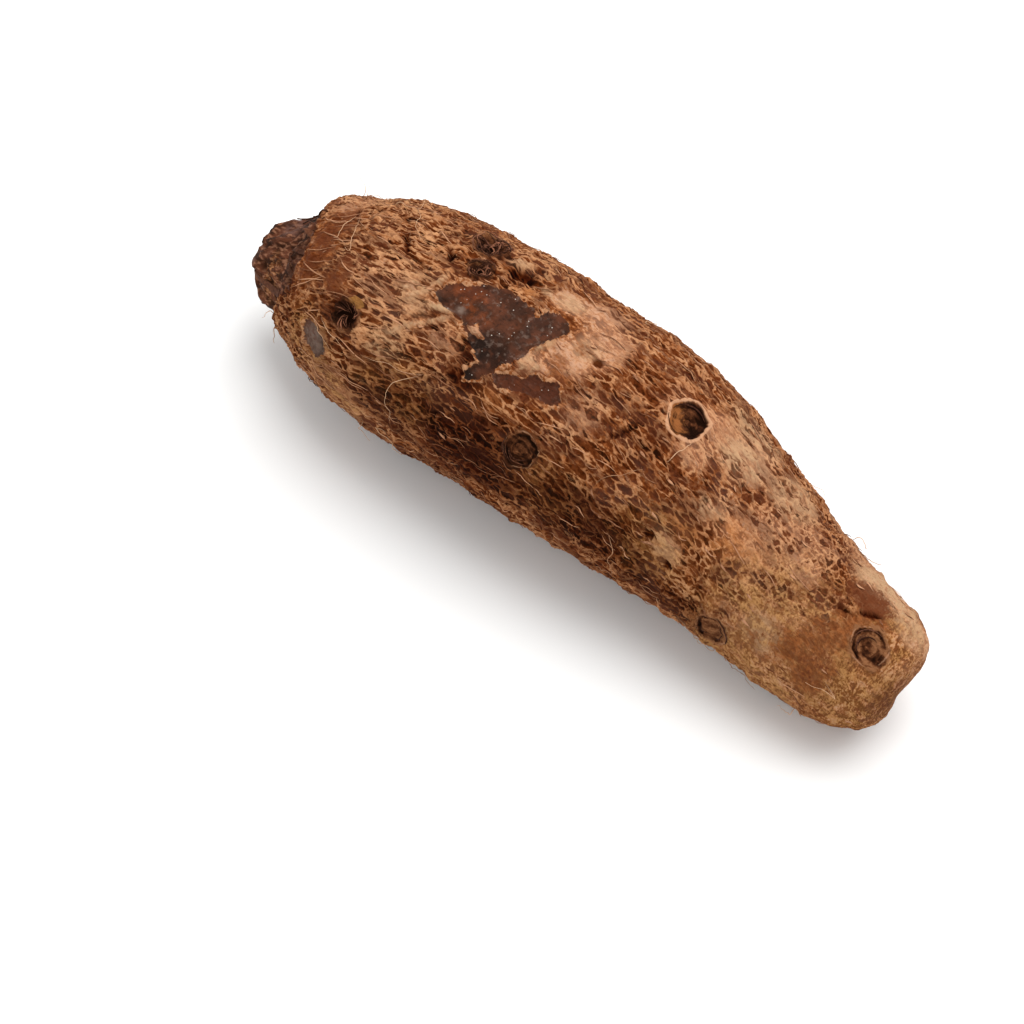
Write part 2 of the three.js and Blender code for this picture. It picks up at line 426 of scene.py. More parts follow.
@dataclass(frozen=True)
class Eye:
    """Eye of the corm: place, width of its rim, heights of its rim and bud, its kind, how
    dark it is inside, and the heading in degrees where its ring is open or its bud has its painted lit side."""

    distance: float
    angle: float
    width: float
    rim: float
    bud: float
    kind: EyeKind
    shade: float
    open_to: float = -34.0


EYES = (
    Eye(72.6, 64.2, 11.0, 1.0, 0.9, EyeKind.NEST, 0.3),
    Eye(77.3, 83.5, 7.5, 0.8, 0.6, EyeKind.NEST, 0.3),
    Eye(150.8, 88.6, 12.5, 0.9, 0.7, EyeKind.CLEAN, 0.72, 143.0),
    Eye(118.9, 149.8, 10.0, 0.9, 0.8, EyeKind.WHORL, 0.27, 150.0),
    Eye(192.0, 176.0, 9.5, 0.8, 0.7, EyeKind.WHORL, 0.02),
    Eye(225.0, 108.5, 10.0, 0.6, 0.5, EyeKind.WHORL, 0.08, 20.0),
    Eye(52.8, 138.0, 9.0, 0.7, 0.3, EyeKind.HOLE, 0.4),
    Eye(34.0, 226.0, 9.0, 0.9, 0.9, EyeKind.NEST, 0.3),
    Eye(96.0, 334.0, 11.0, 0.9, 0.8, EyeKind.WHORL, 0.4),
    Eye(128.0, 222.0, 10.0, 0.9, 0.7, EyeKind.CLEAN, 0.45),
    Eye(163.0, 346.0, 10.5, 0.9, 0.8, EyeKind.WHORL, 0.5),
    Eye(186.0, 318.0, 9.0, 0.8, 0.7, EyeKind.WHORL, 0.3),
    Eye(208.0, 238.0, 9.0, 0.8, 0.8, EyeKind.CLEAN, 0.4),
)

TONES: dict[Tone, tuple[Spot, ...]] = {
    Tone.PALE: (
        Spot(113, 67, 9, 9), Spot(120, 83, 9, 12), Spot(116, 101, 8, 9), Spot(109, 113, 5, 5, 0, 0.9),
        Spot(104, 72, 7, 6, 0, 1.0), Spot(128, 120, 7, 9, 0, 0.55), Spot(200, 101, 8, 7, 0, 0.8),
        Spot(157, 80, 10, 8, 0, 0.75), Spot(145, 84, 5, 8, 0, 0.5), Spot(158, 98, 7, 7, 0, 0.7),
        Spot(168, 76, 12, 11, 0, 0.7), Spot(185, 72, 12, 10, 0, 0.4), Spot(190, 103, 12, 14, 0, 0.6),
        Spot(206, 150, 22, 24, 0, 0.5), Spot(218, 53, 15, 10, 0, 0.8), Spot(170, 146, 8, 5, 20, 0.3),
        Spot(231, 68, 9, 8, 0, 0.9), Spot(237, 130, 7, 20, 0, 0.5), Spot(202, 151, 8, 7, 0, 0.5), Spot(226, 140, 14, 22, 0, 0.25),
        Spot(26, 62, 8, 12, 0, 0.5), Spot(177, 112, 8, 7, 0, 0.5), Spot(197, 84, 10, 9, 0, 0.6), Spot(89.3, 114.7, 3.6, 1.6, 9, 2.2),
        Spot(60, 116, 16, 10, 10, 0.35), Spot(82, 126, 10, 6, 15, 0.5), Spot(52, 184, 16, 11, 0, 0.5),
        Spot(70, 300, 22, 15, 0, 0.5), Spot(150, 262, 26, 15, 0, 0.45), Spot(205, 310, 22, 24, 0, 0.7),
        Spot(112, 8, 16, 11, 0, 0.5), Spot(205, 20, 20, 16, 0, 0.65), Spot(212, 232, 18, 16, 0, 0.6),
    ),
    # Greyer skin; the spot at 9 mm and 80 degrees lies on the stub, where it paints a sheen on the stub's top.
    Tone.GREY: (
        Spot(67, 141, 6, 7, 10, 0.5), Spot(68, 112, 6, 9, -40, 0.4), Spot(81.2, 108.7, 1.9, 1.7, 0, 1.0),
        Spot(107, 114, 3, 3, 0, 0.6), Spot(168, 80, 9, 8, 0, 0.8), Spot(163, 58, 12, 8, 0, 0.6),
        Spot(184, 68, 10, 10, 0, 0.6), Spot(169, 147, 7, 5, 20, 0.6), Spot(202.7, 151, 6, 7, 0, 0.8),
        Spot(42.7, 161, 7, 6, 0, 0.7), Spot(219, 55, 15, 12, 0, 0.9), Spot(172, 114, 6, 4, 0, 0.5),
        Spot(229, 66, 8, 8, 0, 0.8), Spot(9, 80, 6, 8, 0, 1.0), Spot(104, 72, 6, 5, 0, 0.6),
        Spot(150, 262, 14, 8, 0, 0.6), Spot(60, 300, 10, 8, 0, 0.6), Spot(118, 92, 5, 6, 0, 0.4),
    ),
    # Partly painted shade: the long spots at 164 to 178 degrees darken the lower flank, where shade falls; the others
    # darken the skin, eyes, stub and worn patches.
    Tone.DARK: (
        Spot(104, 164, 30, 15, 0, 0.95), Spot(142, 164, 30, 12, 0, 0.75), Spot(96, 148, 9, 7, 0, 0.5),
        Spot(149, 113, 5, 5, 0, 0.45), Spot(119, 150, 8, 7, 0, 0.5), Spot(74, 66, 7, 6, 0, 0.9),
        Spot(79, 84, 6, 5, 0, 0.5), Spot(229, 112, 2.4, 2.2, 0, 0.9), Spot(224.6, 109.5, 3.6, 2.0, 45, 0.8), Spot(51, 138, 6, 5, 0, 0.9),
        Spot(64, 166, 12, 9, 0, 0.3), Spot(176, 178, 22, 7, 0, 0.6), Spot(76, 168, 24, 12, 0, 0.6),
        Spot(34, 226, 7, 7, 0, 0.8), Spot(96, 210, 30, 18, 0, 0.5), Spot(86, 320, 20, 16, 0, 0.4),
        Spot(150, 210, 22, 14, 0, 0.4), Spot(140, 20, 24, 12, 0, 0.35), Spot(238, 140, 6, 12, 0, 0.5),
        Spot(93, 121, 6, 6, 0, 1.0), Spot(99, 120, 6, 6, 0, 0.8), Spot(93, 136, 7, 5, 0, 1.0),
        Spot(90, 91, 5, 3, 0, 0.6), Spot(101, 92, 6, 5, 0, 0.5), Spot(86, 78, 5, 3, 0, 0.6),
        Spot(20, 119, 5, 9, 0, 0.8), Spot(22, 142, 5, 8, 0, 0.7),
        Spot(112, 122, 11, 4, -17, 0.25),
    ),
    Tone.ORANGE: (
        Spot(181, 121, 8, 8, 0, 0.75), Spot(103, 139, 5, 5, 0, 0.9), Spot(171, 132, 8, 5, 10, 0.7),
        Spot(92, 80, 5, 4, 0, 0.8), Spot(188, 116, 7, 5, 0, 0.6), Spot(70, 156, 8, 5, 0, 0.3),
        Spot(135, 330, 14, 10, 0, 0.5), Spot(176, 250, 14, 9, 0, 0.6), Spot(52, 40, 9, 8, 0, 0.3),
        Spot(11, 158, 5, 10, 0, 1.0),
    ),
    Tone.OLIVE: (
        Spot(205, 158, 26, 32, 0, 0.85), Spot(197, 190, 16, 14, 0, 0.8), Spot(52, 184, 14, 10, 0, 0.7),
        Spot(170, 147, 8, 6, 0, 0.6), Spot(228, 145, 14, 34, 0, 0.85), Spot(200, 240, 26, 22, 0, 0.7),
        Spot(212, 320, 20, 20, 0, 0.5), Spot(60, 290, 18, 12, 0, 0.4), Spot(40, 164, 14, 12, 0, 0.7),
        Spot(74, 158, 18, 12, 0, 0.6), Spot(164, 152, 16, 14, 0, 0.6), Spot(130, 160, 20, 12, 0, 0.4),
    ),
    Tone.SMEAR: (
        Spot(210, 146, 6, 8, 0, 1.1), Spot(214, 128, 6, 9, -20, 1.0), Spot(217, 112, 7, 9, -20, 1.0),
        Spot(217, 157, 6, 9, 0, 1.3),
        Spot(222, 97, 6, 7, -30, 0.9), Spot(219, 82, 6, 6, -30, 0.8), Spot(219, 142, 6, 7, 0, 0.9),
        Spot(205, 158, 8, 5, 0, 0.5), Spot(229, 122, 4, 7, 10, 0.5), Spot(214, 270, 6, 14, 0, 0.7),
        Spot(186, 20, 5, 10, 0, 0.5), Spot(32, 112, 8, 18, 0, 0.75), Spot(40, 130, 8, 8, 0, 0.5),
        Spot(117, 93, 4, 3, 0, 0.9), Spot(115, 106, 5, 3, 20, 0.8), Spot(117.5, 111, 5, 4, 0, 1.0),
    ),
    Tone.GLINT: (
        Spot(86, 104, 6, 5, 20, 1.0), Spot(80, 99, 6, 4, 0, 0.8), Spot(110, 122, 8, 3, -17, 0.3),
    ),
    Tone.ARCS: (
        Spot(50, 90, 19, 27, 0, 1.0), Spot(62, 108, 14, 16, 0, 0.6), Spot(40, 55, 16, 20, 0, 0.8),
        Spot(60, 150, 14, 12, 0, 0.5), Spot(85, 55, 14, 10, 0, 0.6), Spot(40, 330, 22, 30, 0, 0.7),
        Spot(40, 270, 20, 20, 0, 0.6), Spot(84, 138, 10, 8, 0, 0.5),
    ),
    Tone.SMOOTH: (
        Spot(107, 74, 13, 10, 0, 1.0), Spot(117, 88, 11, 14, 0, 1.0), Spot(111, 111, 7, 8, 0, 1.0),
        Spot(240, 130, 27, 95, 0, 1.0), Spot(210, 165, 16, 20, 0, 1.0), Spot(202, 150, 9, 9, 0, 0.9),
        Spot(219, 52, 17, 15, 0, 1.0), Spot(30, 108, 9, 24, 0, 0.8), Spot(170, 147, 6, 5, 0, 0.3),
        Spot(184, 116, 8, 7, 0, 0.4), Spot(160, 76, 9, 7, 0, 0.4), Spot(69, 111, 6, 9, -40, 0.5),
        Spot(205, 310, 16, 18, 0, 0.8), Spot(150, 262, 16, 9, 0, 0.8), Spot(60, 300, 12, 9, 0, 0.8),
        Spot(44, 123, 6, 8, 0, 0.6), Spot(51, 132, 4, 4, 0, 0.5),
    ),
    Tone.TIP: (Spot(54.3, 130.2, 3.0, 1.9, 0, 1.0), Spot(33, 222, 2.0, 1.4, 0, 1.0)),
    Tone.RED: (
        Spot(217, 79, 9, 7, -30, 1.25), Spot(209, 99, 6, 6, 0, 0.6), Spot(31, 100, 8, 16, 0, 0.9),
        Spot(80, 97, 7, 4, 0, 1.0), Spot(112, 122, 12, 6, -17, 1.0), Spot(217, 146, 5, 7, 0, 0.5),
        Spot(118, 115, 4, 3, 0, 0.8), Spot(60, 52, 12, 10, 0, 0.5), Spot(48, 88, 16, 20, 0, 0.35),
        Spot(31, 122, 6, 8, 0, 0.9), Spot(44, 123, 6, 8, 0, 0.9), Spot(51, 132, 5, 5, 0, 0.8), Spot(47, 113, 4, 5, 0, 0.7),
    ),
}

# Corners of the worn patches that face the light: distance and angle
WORN_PATCHES = (
    (
        (72.0, 107.2), (72.5, 102.0), (74.7, 96.8), (78.5, 95.2), (82.3, 90.7), (86.1, 88.5),
        (87.2, 84.8), (90.0, 86.2), (93.8, 87.8), (98.1, 88.5), (100.9, 91.5), (102.0, 85.5),
        (103.6, 82.5), (106.3, 82.5), (109.1, 85.5), (110.7, 89.3), (109.1, 95.2), (108.0, 100.5),
        (106.3, 104.2), (105.8, 111.0), (105.2, 116.2), (102.5, 120.0), (100.9, 126.8),
        (98.1, 132.0), (94.3, 136.2), (93.3, 131.0), (96.0, 126.0), (92.1, 122.2), (88.9, 118.5),
        (85.6, 115.5), (83.4, 111.8), (80.1, 111.8), (76.9, 111.8), (74.1, 110.3),
    ),
    (
        (101.1, 127.4), (103.8, 123.8), (108.7, 121.7), (111.5, 117.1), (114.8, 117.1), (118.6, 112.6),
        (119.7, 117.8), (122.0, 122.4), (118.5, 126.0), (114.6, 126.0), (111.0, 127.4), (107.7, 129.6),
        (104.1, 132.0),
    ),
)
WORN_OVALS = (
    Spot(130, 318, 17, 9, 20),
    Spot(64, 236, 12, 8, -15),
    Spot(42.7, 161, 6.0, 4.6, 25),
)
WORN_SLIVERS = (Spot(89.7, 115.1, 3.2, 1.0, 9), Spot(88.4, 112.8, 1.6, 0.8, -60))
PITS = (
    Spot(122.2, 94.3, 1.9, 1.9),
    Spot(163.6, 147.6, 1.7, 1.7),
    Spot(172.5, 156.0, 1.6, 1.6),
    Spot(229.0, 112.0, 1.7, 1.5),
    Spot(105.0, 24.0, 2.3, 2.3),
    Spot(146.0, 12.0, 2.1, 2.1),
)


# Creases and torn edges: they sink into the skin, and the dark tone paints shade into them
CREASES = (
    Spot(86.7, 72, 4.4, 2.6, -26, 1.8),
    Spot(47.5, 73, 3.0, 1.6, 30),
    Spot(55, 89.6, 5.0, 0.9, 55, 1.6),
    Spot(62.5, 67, 4.0, 0.8, -30),
    Spot(67, 83, 5.2, 0.8, 51, 1.3),
    Spot(31, 76, 4.5, 0.7, 60),
    Spot(36, 70, 4.0, 0.7, 45),
    Spot(62, 97, 5.0, 0.8, 10),
    Spot(214.3, 100.5, 3.0, 0.8, -12),
    Spot(220, 89.3, 4.0, 0.9, -38, 1.2),
    Spot(75.8, 118.3, 1.1, 0.8, 0, 0.9),
    Spot(78.0, 122.4, 1.3, 0.8, 0, 0.9),
    Spot(72.6, 120.2, 4.0, 0.6, -34, 0.7),
    Spot(66.6, 107.0, 3.4, 0.6, -58, 0.7),
    Spot(74.0, 109.0, 3.0, 0.7, -18, 0.7),
    Spot(88, 162, 7.0, 0.8, -60),
    Spot(140, 116, 7.0, 0.7, -62),
    Spot(5.8, 153, 1.8, 1.6, 0, 1.2),
    Spot(12.5, 96, 1.6, 2.6, 0),
    Spot(30, 300, 7.0, 0.9, 20),
    Spot(170, 300, 9.0, 0.9, 10),
)

# Raised folds of dry, papery skin
FOLDS = (
    Spot(64.6, 110.6, 3.6, 1.1, -60),
    Spot(67.0, 114.0, 3.8, 1.2, -53),
    Spot(69.8, 106.5, 3.6, 1.2, -64),
    Spot(71.2, 100.2, 2.6, 1.1, -81),
    Spot(76.3, 112.9, 4.8, 1.1, -16),
    Spot(67.9, 132.4, 3.4, 1.0, -56, 0.8),
    Spot(72.0, 125.6, 4.4, 1.0, -36, 0.8),
    Spot(77.4, 118.5, 4.5, 0.9, -39, 0.8),
    Spot(84.3, 66.5, 4.8, 2.0, -24, 0.6),
    Spot(96.8, 74.6, 4.4, 1.7, 42, 0.6),
    Spot(107.6, 118.5, 3.2, 1.0, -69, 0.8),
    Spot(110.4, 115.0, 3.2, 1.0, -69, 0.8),
    Spot(108.3, 102.8, 4.5, 1.4, -70, 0.8),
    Spot(64.0, 143.0, 5.0, 1.0, -40, 0.6),
    Spot(1.2, 160.5, 2.2, 1.6, 0, 1.1),
)


@dataclass
class CormForm:
    """Plain body: an outline turned round a bent centre line, with lobes, swellings, leaf
    scars and a sunk stub."""

    length: float = 240.0
    table_press: float = 0.5
    middle: tuple[float, float] = (119.530, 3.600)
    outline: tuple = (
        (0, -2.5), (6.2, -2.2), (11.2, 0.3), (15, 6), (17.4, 11.5), (19.8, 16), (23.8, 21.5),
        (30.5, 37), (34, 56), (35.5, 86), (35.3, 118), (33.3, 146), (29, 172), (25, 198),
        (22.5, 216), (20.5, 228), (17, 235.5), (10.5, 238.6), (4, 238.9), (0, 238.4),
    )
    centre_line: tuple = (
        (0, -3, 29), (30, -0.5, 32), (60, 1, 34.5), (90, 3.5, 35), (120, 5, 34.5),
        (150, 5.5, 32), (180, 3.5, 28), (210, 0.5, 24), (240, -1, 20.5),
    )
    swellings: tuple = (
        (19, 56, 6, 17, 3.3), (35, 40, 13, 14, 1.5), (58, 35, 16, 14, 1.2), (7, 205, 9, 26, 3.6),
        (108, 42, 12, 18, -1.2), (197, 42, 13, 18, -1.4), (236, 215, 9, 30, -3.4),
        (91, 72.5, 7, 4, -1.8), (92, 62, 9, 5, 1.3),
    )
    scar_spacing: float = 14.5
    scar_height: float = 0.7
    stub_edge: float = 15.0
    stub_depth: float = 2.2
    detail_radius: float = 12.0

    def rings(self, count: int) -> tuple[np.ndarray, np.ndarray, np.ndarray]:
        """Evenly spaced points of the outline.

        Args:
            count: number of rings.

        Returns:
            Their distances along the centre line, radii, and lengths along the outline.
        """
        path = spline(self.outline, np.linspace(0, 1, 6000), mirrored=False)
        length = np.r_[0, np.cumsum(np.hypot(*np.diff(path, axis=0).T))]
        even = np.linspace(0, length[-1], count)
        return np.interp(even, length, path[:, 1]), np.interp(even, length, path[:, 0]), even

    def stub_share(self, distance: np.ndarray, angle: np.ndarray) -> np.ndarray:
        """1 on the stub of the leaf stalk and 0 on the skin.

        Args:
            distance: distances from the stalk end.
            angle: angles round the corm, in radians.

        Returns:
            One less a soft step at an edge that leans and has three teeth.
        """
        lean = 7 * np.cos(angle - 118 * DEGREE)
        tooth = 2.4 * np.cos(3 * (angle - 128 * DEGREE))
        edge = self.stub_edge + lean + tooth
        return 1 - smooth(distance - edge, -1.5, 1.5)

    def skin_radius(self, distance: np.ndarray, angle: np.ndarray, radius: np.ndarray) -> np.ndarray:
        """Radius of the uneven skin without its net.

        The plain radius is multiplied by one plus waves of two and three lobes. Bell-shaped
        swellings, rings of leaf scars, the sunk ribbed stub, and the swell and dip of each
        eye are then added.

        Args:
            distance: distances from the stalk end.
            angle: angles round the corm, in radians.
            radius: radii of the plain outline there.

        Returns:
            The radii in millimetres.
        """
        share = 1 + 0.007 * np.sin(2 * math.pi * distance / 47 + 1.5 * np.sin(angle))
        share += 0.02 * np.cos(2 * angle - 0.8 + distance / 80)
        share += 0.014 * np.cos(3 * angle + 1.1 - distance / 38)
        raised = np.zeros_like(distance)
        for centre, around, half_length, half_width, height in self.swellings:
            across = turn_between(angle, around * DEGREE) * 30 / half_width
            raised += height * np.exp(-(((distance - centre) / half_length) ** 2) - across**2)
        stub = self.stub_share(distance, angle)
        place = distance + 3 * np.sin(angle + 0.6) + 1.5 * np.sin(2 * angle)
        ring = np.maximum(0, np.cos(2 * math.pi * place / self.scar_spacing)) ** 6
        raised += self.scar_height * ring * (1 - stub)
        raised += (0.5 * np.cos(9 * angle + 0.2 * distance) - self.stub_depth) * stub
        for eye in EYES:
            reach = self.eye_reach(eye, distance, angle, radius)
            raised += 0.6 * np.exp(-((reach / 1.5) ** 2)) - 1.7 * np.exp(-((reach / 0.75) ** 4))
        return radius * share + raised * np.clip(radius / self.detail_radius, 0, 1)

    @staticmethod
    def eye_reach(eye: Eye, distance: np.ndarray, angle: np.ndarray, radius: np.ndarray) -> np.ndarray:
        """Distance from the middle of an eye, as a share of the radius of its rim."""
        across = turn_between(angle, eye.angle * DEGREE) * radius
        return np.hypot(distance - eye.distance, across) / (eye.width / 2)

    def point(self, distance: np.ndarray, angle: np.ndarray, radius: np.ndarray) -> np.ndarray:
        """Places on the bent body.

        The distance is drawn back near the thin end by a share of the radius that depends on
        the angle, so that the end is cut askew. The point is the centre line there, plus the
        radius times the sideways and upward directions of the bent line.

        Args:
            distance: distances from the stalk end.
            angle: angles round the corm, in radians.
            radius: distances from the centre line.

        Returns:
            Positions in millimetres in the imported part's frame.
        """
        lean = 0.24 * np.cos(angle) - 0.21 * np.sin(angle) + 0.1 * np.cos(2 * (angle - 132 * DEGREE))
        shifted = distance - smooth(distance, 187, 233) * radius * lean
        inside = np.clip(shifted, 0, self.length)
        share = inside / self.length
        ahead = spline(self.centre_line, np.clip(share + 1e-4, 0, 1), mirrored=True)
        behind = spline(self.centre_line, np.clip(share - 1e-4, 0, 1), mirrored=True)
        along = unit(ahead - behind)
        side = unit(np.cross([0, 0, 1.0], along))
        up = np.cross(along, side)
        centre = spline(self.centre_line, share, mirrored=True) + (shifted - inside)[..., None] * along
        centre = centre - [*self.middle, self.table_press]
        return centre + (radius * np.cos(angle))[..., None] * side + (radius * np.sin(angle))[..., None] * up


class TreeKind(Enum):
    """Where the net pattern is wired: in a finish, or in a measurement of the mesh."""

    FINISH = "ShaderNodeTree"
    MEASURE = "GeometryNodeTree"


@dataclass
class FleckNet:
    """The net of raised strands round long sunk flecks, as one formula that serves both the
    colours of the skin and its relief."""

    cell_width: float = 1.95
    strand: float = 0.07
    fleck_limit: float = -0.17
    unstretch: tuple = (2.8, 1.0, 1.0)
    inputs: tuple = (
        ("Skin", "NodeSocketVector"), ("Spot", "NodeSocketVector"), ("Reach", "NodeSocketFloat"),
        ("Look", "NodeSocketFloat"), ("Worn", "NodeSocketFloat"), ("Pale", "NodeSocketFloat"), ("Dark", "NodeSocketFloat"),
        ("Arcs", "NodeSocketFloat"), ("Stub", "NodeSocketFloat"), ("Smooth", "NodeSocketFloat"),
    )
    outputs: tuple = (
        "Height", "Net", "Fleck", "Crest", "Cell", "Fibre", "Streak", "Grit", "Cloud", "Worn", "Lip",
        "Eye", "Whorl", "Groove", "Stub",
    )

    def grow(self, kind: TreeKind) -> bpy.types.NodeTree:
        """Wires the formula as a node group.

        The skin coordinates are swayed by noise and filled with cells round scattered points.
        A strand runs where the distance to the edge of a cell is small, and its width grows
        in the pale patches. A worn patch, the stub and each eye take the place of the net
        inside their own ragged edges.

        Args:
            kind: whether it serves a finish or a measurement.

        Returns:
            The node group.
        """
        tree = bpy.data.node_groups.new(f"fleck_net_{kind.name.lower()}", kind.value)
        for name, socket in self.inputs:
            tree.interface.new_socket(name, in_out="INPUT", socket_type=socket)
        for name in self.outputs:
            tree.interface.new_socket(name, in_out="OUTPUT", socket_type="NodeSocketFloat")
        w = Wiring(tree)
        given = w.add("NodeGroupInput").outputs
        skin = given["Skin"]
        made = self.net_parts(w, skin, given)
        made |= self.edges(w, skin, given)
        made |= self.whorls(w, given)
        made["Height"] = self.height(w, skin, made)
        w.add("NodeGroupOutput", None, {name: made[name] for name in self.outputs})
        return tree

    def net_parts(self, w: Wiring, skin: Socket, given: object) -> dict[str, Socket]:
        """Strands, flecks and loose fibre lines.

        Args:
            w: wiring of the group.
            skin: skin coordinates.
            given: inputs of the group.

        Returns:
            Net, the distance inside a fleck; Fleck; Crest; Cell, a chance value; Fibre;
            Streak, fine grain along the fibres; Grit, fine even grain; and Cloud, its blotches.
        """
        half = (0.5, 0.5, 0.5)
        even = w.vector("MULTIPLY", skin, self.unstretch)
        sway = w.vector("SUBTRACT", w.noise(skin, 0.16, 2, "Color"), half)
        ripple = w.vector("SUBTRACT", w.noise(skin, 0.9, 3, "Color"), half)
        moved = w.vector("ADD", skin, w.vector("MULTIPLY", sway, (2.0, 4.4, 4.4)))
        moved = w.vector("ADD", moved, w.vector("MULTIPLY", ripple, (0.7, 1.4, 1.4)))
        scale = 1 / self.cell_width
        edge = w.cells(moved, scale, "DISTANCE_TO_EDGE", "Distance")
        drawn = w.vector("MULTIPLY", moved, (0.7, 1.15, 1.15))
        drawn = w.cells(drawn, scale, "DISTANCE_TO_EDGE", "Distance")
        edge = w.blend(w.step(given["Arcs"], 0.45, 0.6), edge, drawn)
        first, second, _ = w.split(w.cells(moved, scale, "F1", "Color"))
        ground = w.math("ADD", w.swing(moved, 0.26, 1.0, 3), w.swing(moved, 1.3, 0.3, 3))
        ground = w.math("ADD", ground, w.swing(even, 1.0, 0.35, 5))
        ground = w.math("MULTIPLY_ADD", w.math("SUBTRACT", first, 0.5), 0.5, ground)
        limit = w.math("ADD", w.swing(skin, 0.07, 0.5), self.fleck_limit)
        limit = w.math("MULTIPLY_ADD", given["Pale"], 0.3, limit)
        limit = w.math("MULTIPLY_ADD", given["Smooth"], 0.75, limit)
        limit = w.math("MULTIPLY_ADD", given["Arcs"], -0.3, limit)
        limit = w.math("MULTIPLY_ADD", given["Dark"], -0.25, limit)
        inside = w.math("SUBTRACT", ground, limit)
        width = w.math("ADD", w.swing(skin, 0.3, 0.26), self.strand)
        width = w.math("MULTIPLY_ADD", given["Pale"], 0.05, width)
        width = w.math("MULTIPLY_ADD", given["Arcs"], 0.04, width)
        width = w.math("MULTIPLY_ADD", given["Dark"], -0.03, width)
        beside = w.math("SUBTRACT", w.math("ADD", edge, w.swing(even, 1.1, 0.2, 4)), width)
        strand = w.step(beside, -0.03, 0.06, 1.0, 0.0)
        net = w.math("MINIMUM", inside, w.math("MULTIPLY", beside, 0.8))
        fleck = w.math("MULTIPLY", w.step(inside, -0.05, 0.08), w.math("SUBTRACT", 1.0, strand))
        netted = w.step(given["Smooth"], 0.2, 0.8, 1.0, 0.1)
        crest = w.math("MULTIPLY", strand, w.math("MULTIPLY", netted, w.step(w.noise(skin, 0.5), 0.3, 0.5)))
        long = w.vector("MULTIPLY", moved, (0.42, 1.0, 1.0))
        line = w.math("ABSOLUTE", w.math("SUBTRACT", w.noise(long, 0.62, 1.5), 0.5))
        line = w.step(line, 0.004, w.math("MULTIPLY_ADD", given["Arcs"], 0.014, 0.026), 1.0, 0.0)
        floor = w.math("MULTIPLY_ADD", given["Arcs"], -0.12, 0.53)
        shown = w.step(w.noise(skin, 0.21), floor, w.math("ADD", floor, 0.06))
        fibre = w.math("MULTIPLY", line, w.math("MULTIPLY", shown, netted))
        grit = w.noise(even, 0.9, 5)
        cloud = w.noise(even, 0.36, 5)
        streak = w.noise(w.vector("MULTIPLY", moved, (0.65, 1.0, 1.0)), 1.4, 5)
        return {
            "Net": net, "Fleck": fleck, "Crest": crest, "Cell": second, "Fibre": fibre, "Streak": streak,
            "Grit": grit, "Cloud": cloud,
        }

    def edges(self, w: Wiring, skin: Socket, given: object) -> dict[str, Socket]:
        """Ragged edges of the worn patches and of the stub.

        Args:
            w: wiring of the group.
            skin: skin coordinates.
            given: inputs of the group.

        Returns:
            Worn and Stub, each 1 inside, and Lip, the crust along the edge of a worn patch.
        """
        ragged = w.math("ADD", given["Worn"], w.swing(skin, 0.55, 2.8, 4))
        ragged = w.math("ADD", ragged, w.swing(skin, 1.9, 1.2, 3))
        worn = w.step(ragged, -0.05, 0.22)
        crust = w.math("MULTIPLY_ADD", w.step(w.noise(skin, 0.23, 2), 0.42, 0.64), -1.7, 0.05)
        near = w.step(ragged, crust, w.math("ADD", crust, 0.5))
        lip = w.math("MULTIPLY", near, w.math("SUBTRACT", 1.0, worn))
        lip = w.math("MULTIPLY", lip, w.step(w.noise(skin, 0.9, 3), 0.3, 0.5, 0.35, 1.0))
        stub = w.step(w.math("ADD", given["Stub"], w.swing(skin, 0.3, 0.9, 3)), 0.42, 0.58)
        return {"Worn": worn, "Lip": lip, "Stub": stub}

    def whorls(self, w: Wiring, given: object) -> dict[str, Socket]:
        """Strands that run round the eyes.

        Noise is read at the direction from the middle of the eye and at a multiple of the
        distance from it, so that it changes fast outward and slowly round.

        Args:
            w: wiring of the group.
            given: inputs of the group.

        Returns:
            Eye, 1 inside an eye; Whorl, the noise; and Groove, 1 in the outer ring away from
            the side where it is open, and in an inner ring on that side.
        """
        toward, aside, seed = w.split(given["Spot"])
        flat = w.joined(toward, aside, 0.0)
        far = w.vector("LENGTH", flat)
        x, y, _ = w.split(w.vector("NORMALIZE", flat))
        place = w.joined(
            w.math("MULTIPLY_ADD", x, 0.9, seed),
            w.math("MULTIPLY", y, 0.9),
            w.math("MULTIPLY", far, 1.05),
        )
        whorl = w.noise(w.vector("ADD", place, w.scaled(w.noise(flat, 0.9, 2, "Color"), 0.9)), 1.0, 2.5)
        clean = w.step(given["Look"], 0.3, 0.7)
        ringed = w.step(given["Look"], -0.7, -0.3, 1.0, 0.0)
        reach = w.math("ADD", given["Reach"], w.swing(w.vector("ADD", flat, w.joined(seed, 0, 0)), 0.3, 0.55, 3))
        closed = w.math("MULTIPLY_ADD", x, -0.5, 0.5)
        outer = w.step(w.math("ABSOLUTE", w.math("SUBTRACT", reach, 0.86)), 0.02, 0.15, 1.0, 0.0)
        inner = w.step(w.math("ABSOLUTE", w.math("SUBTRACT", reach, 0.5)), 0.01, 0.08, 0.35, 0.0)
        outer = w.math("MULTIPLY", outer, w.step(closed, 0.1, 0.55))
        inner = w.math("MULTIPLY", inner, w.step(closed, 0.75, 0.35))
        broken = w.step(w.noise(w.vector("ADD", flat, w.joined(seed, 0.0, 0.0)), 0.3, 1), 0.36, 0.54, 0.5, 1.0)
        groove = w.math("MULTIPLY", w.math("MAXIMUM", outer, inner), w.math("MULTIPLY", ringed, broken))
        ragged = w.math("MULTIPLY", w.swing(given["Skin"], 0.5, 0.9), w.math("SUBTRACT", 1.0, clean))
        reach = w.math("MULTIPLY_ADD", clean, 0.16, w.math("ADD", given["Reach"], ragged))
        eye = w.step(reach, 1.0, 1.25, 1.0, 0.0)
        return {"Eye": eye, "Whorl": whorl, "Groove": groove}

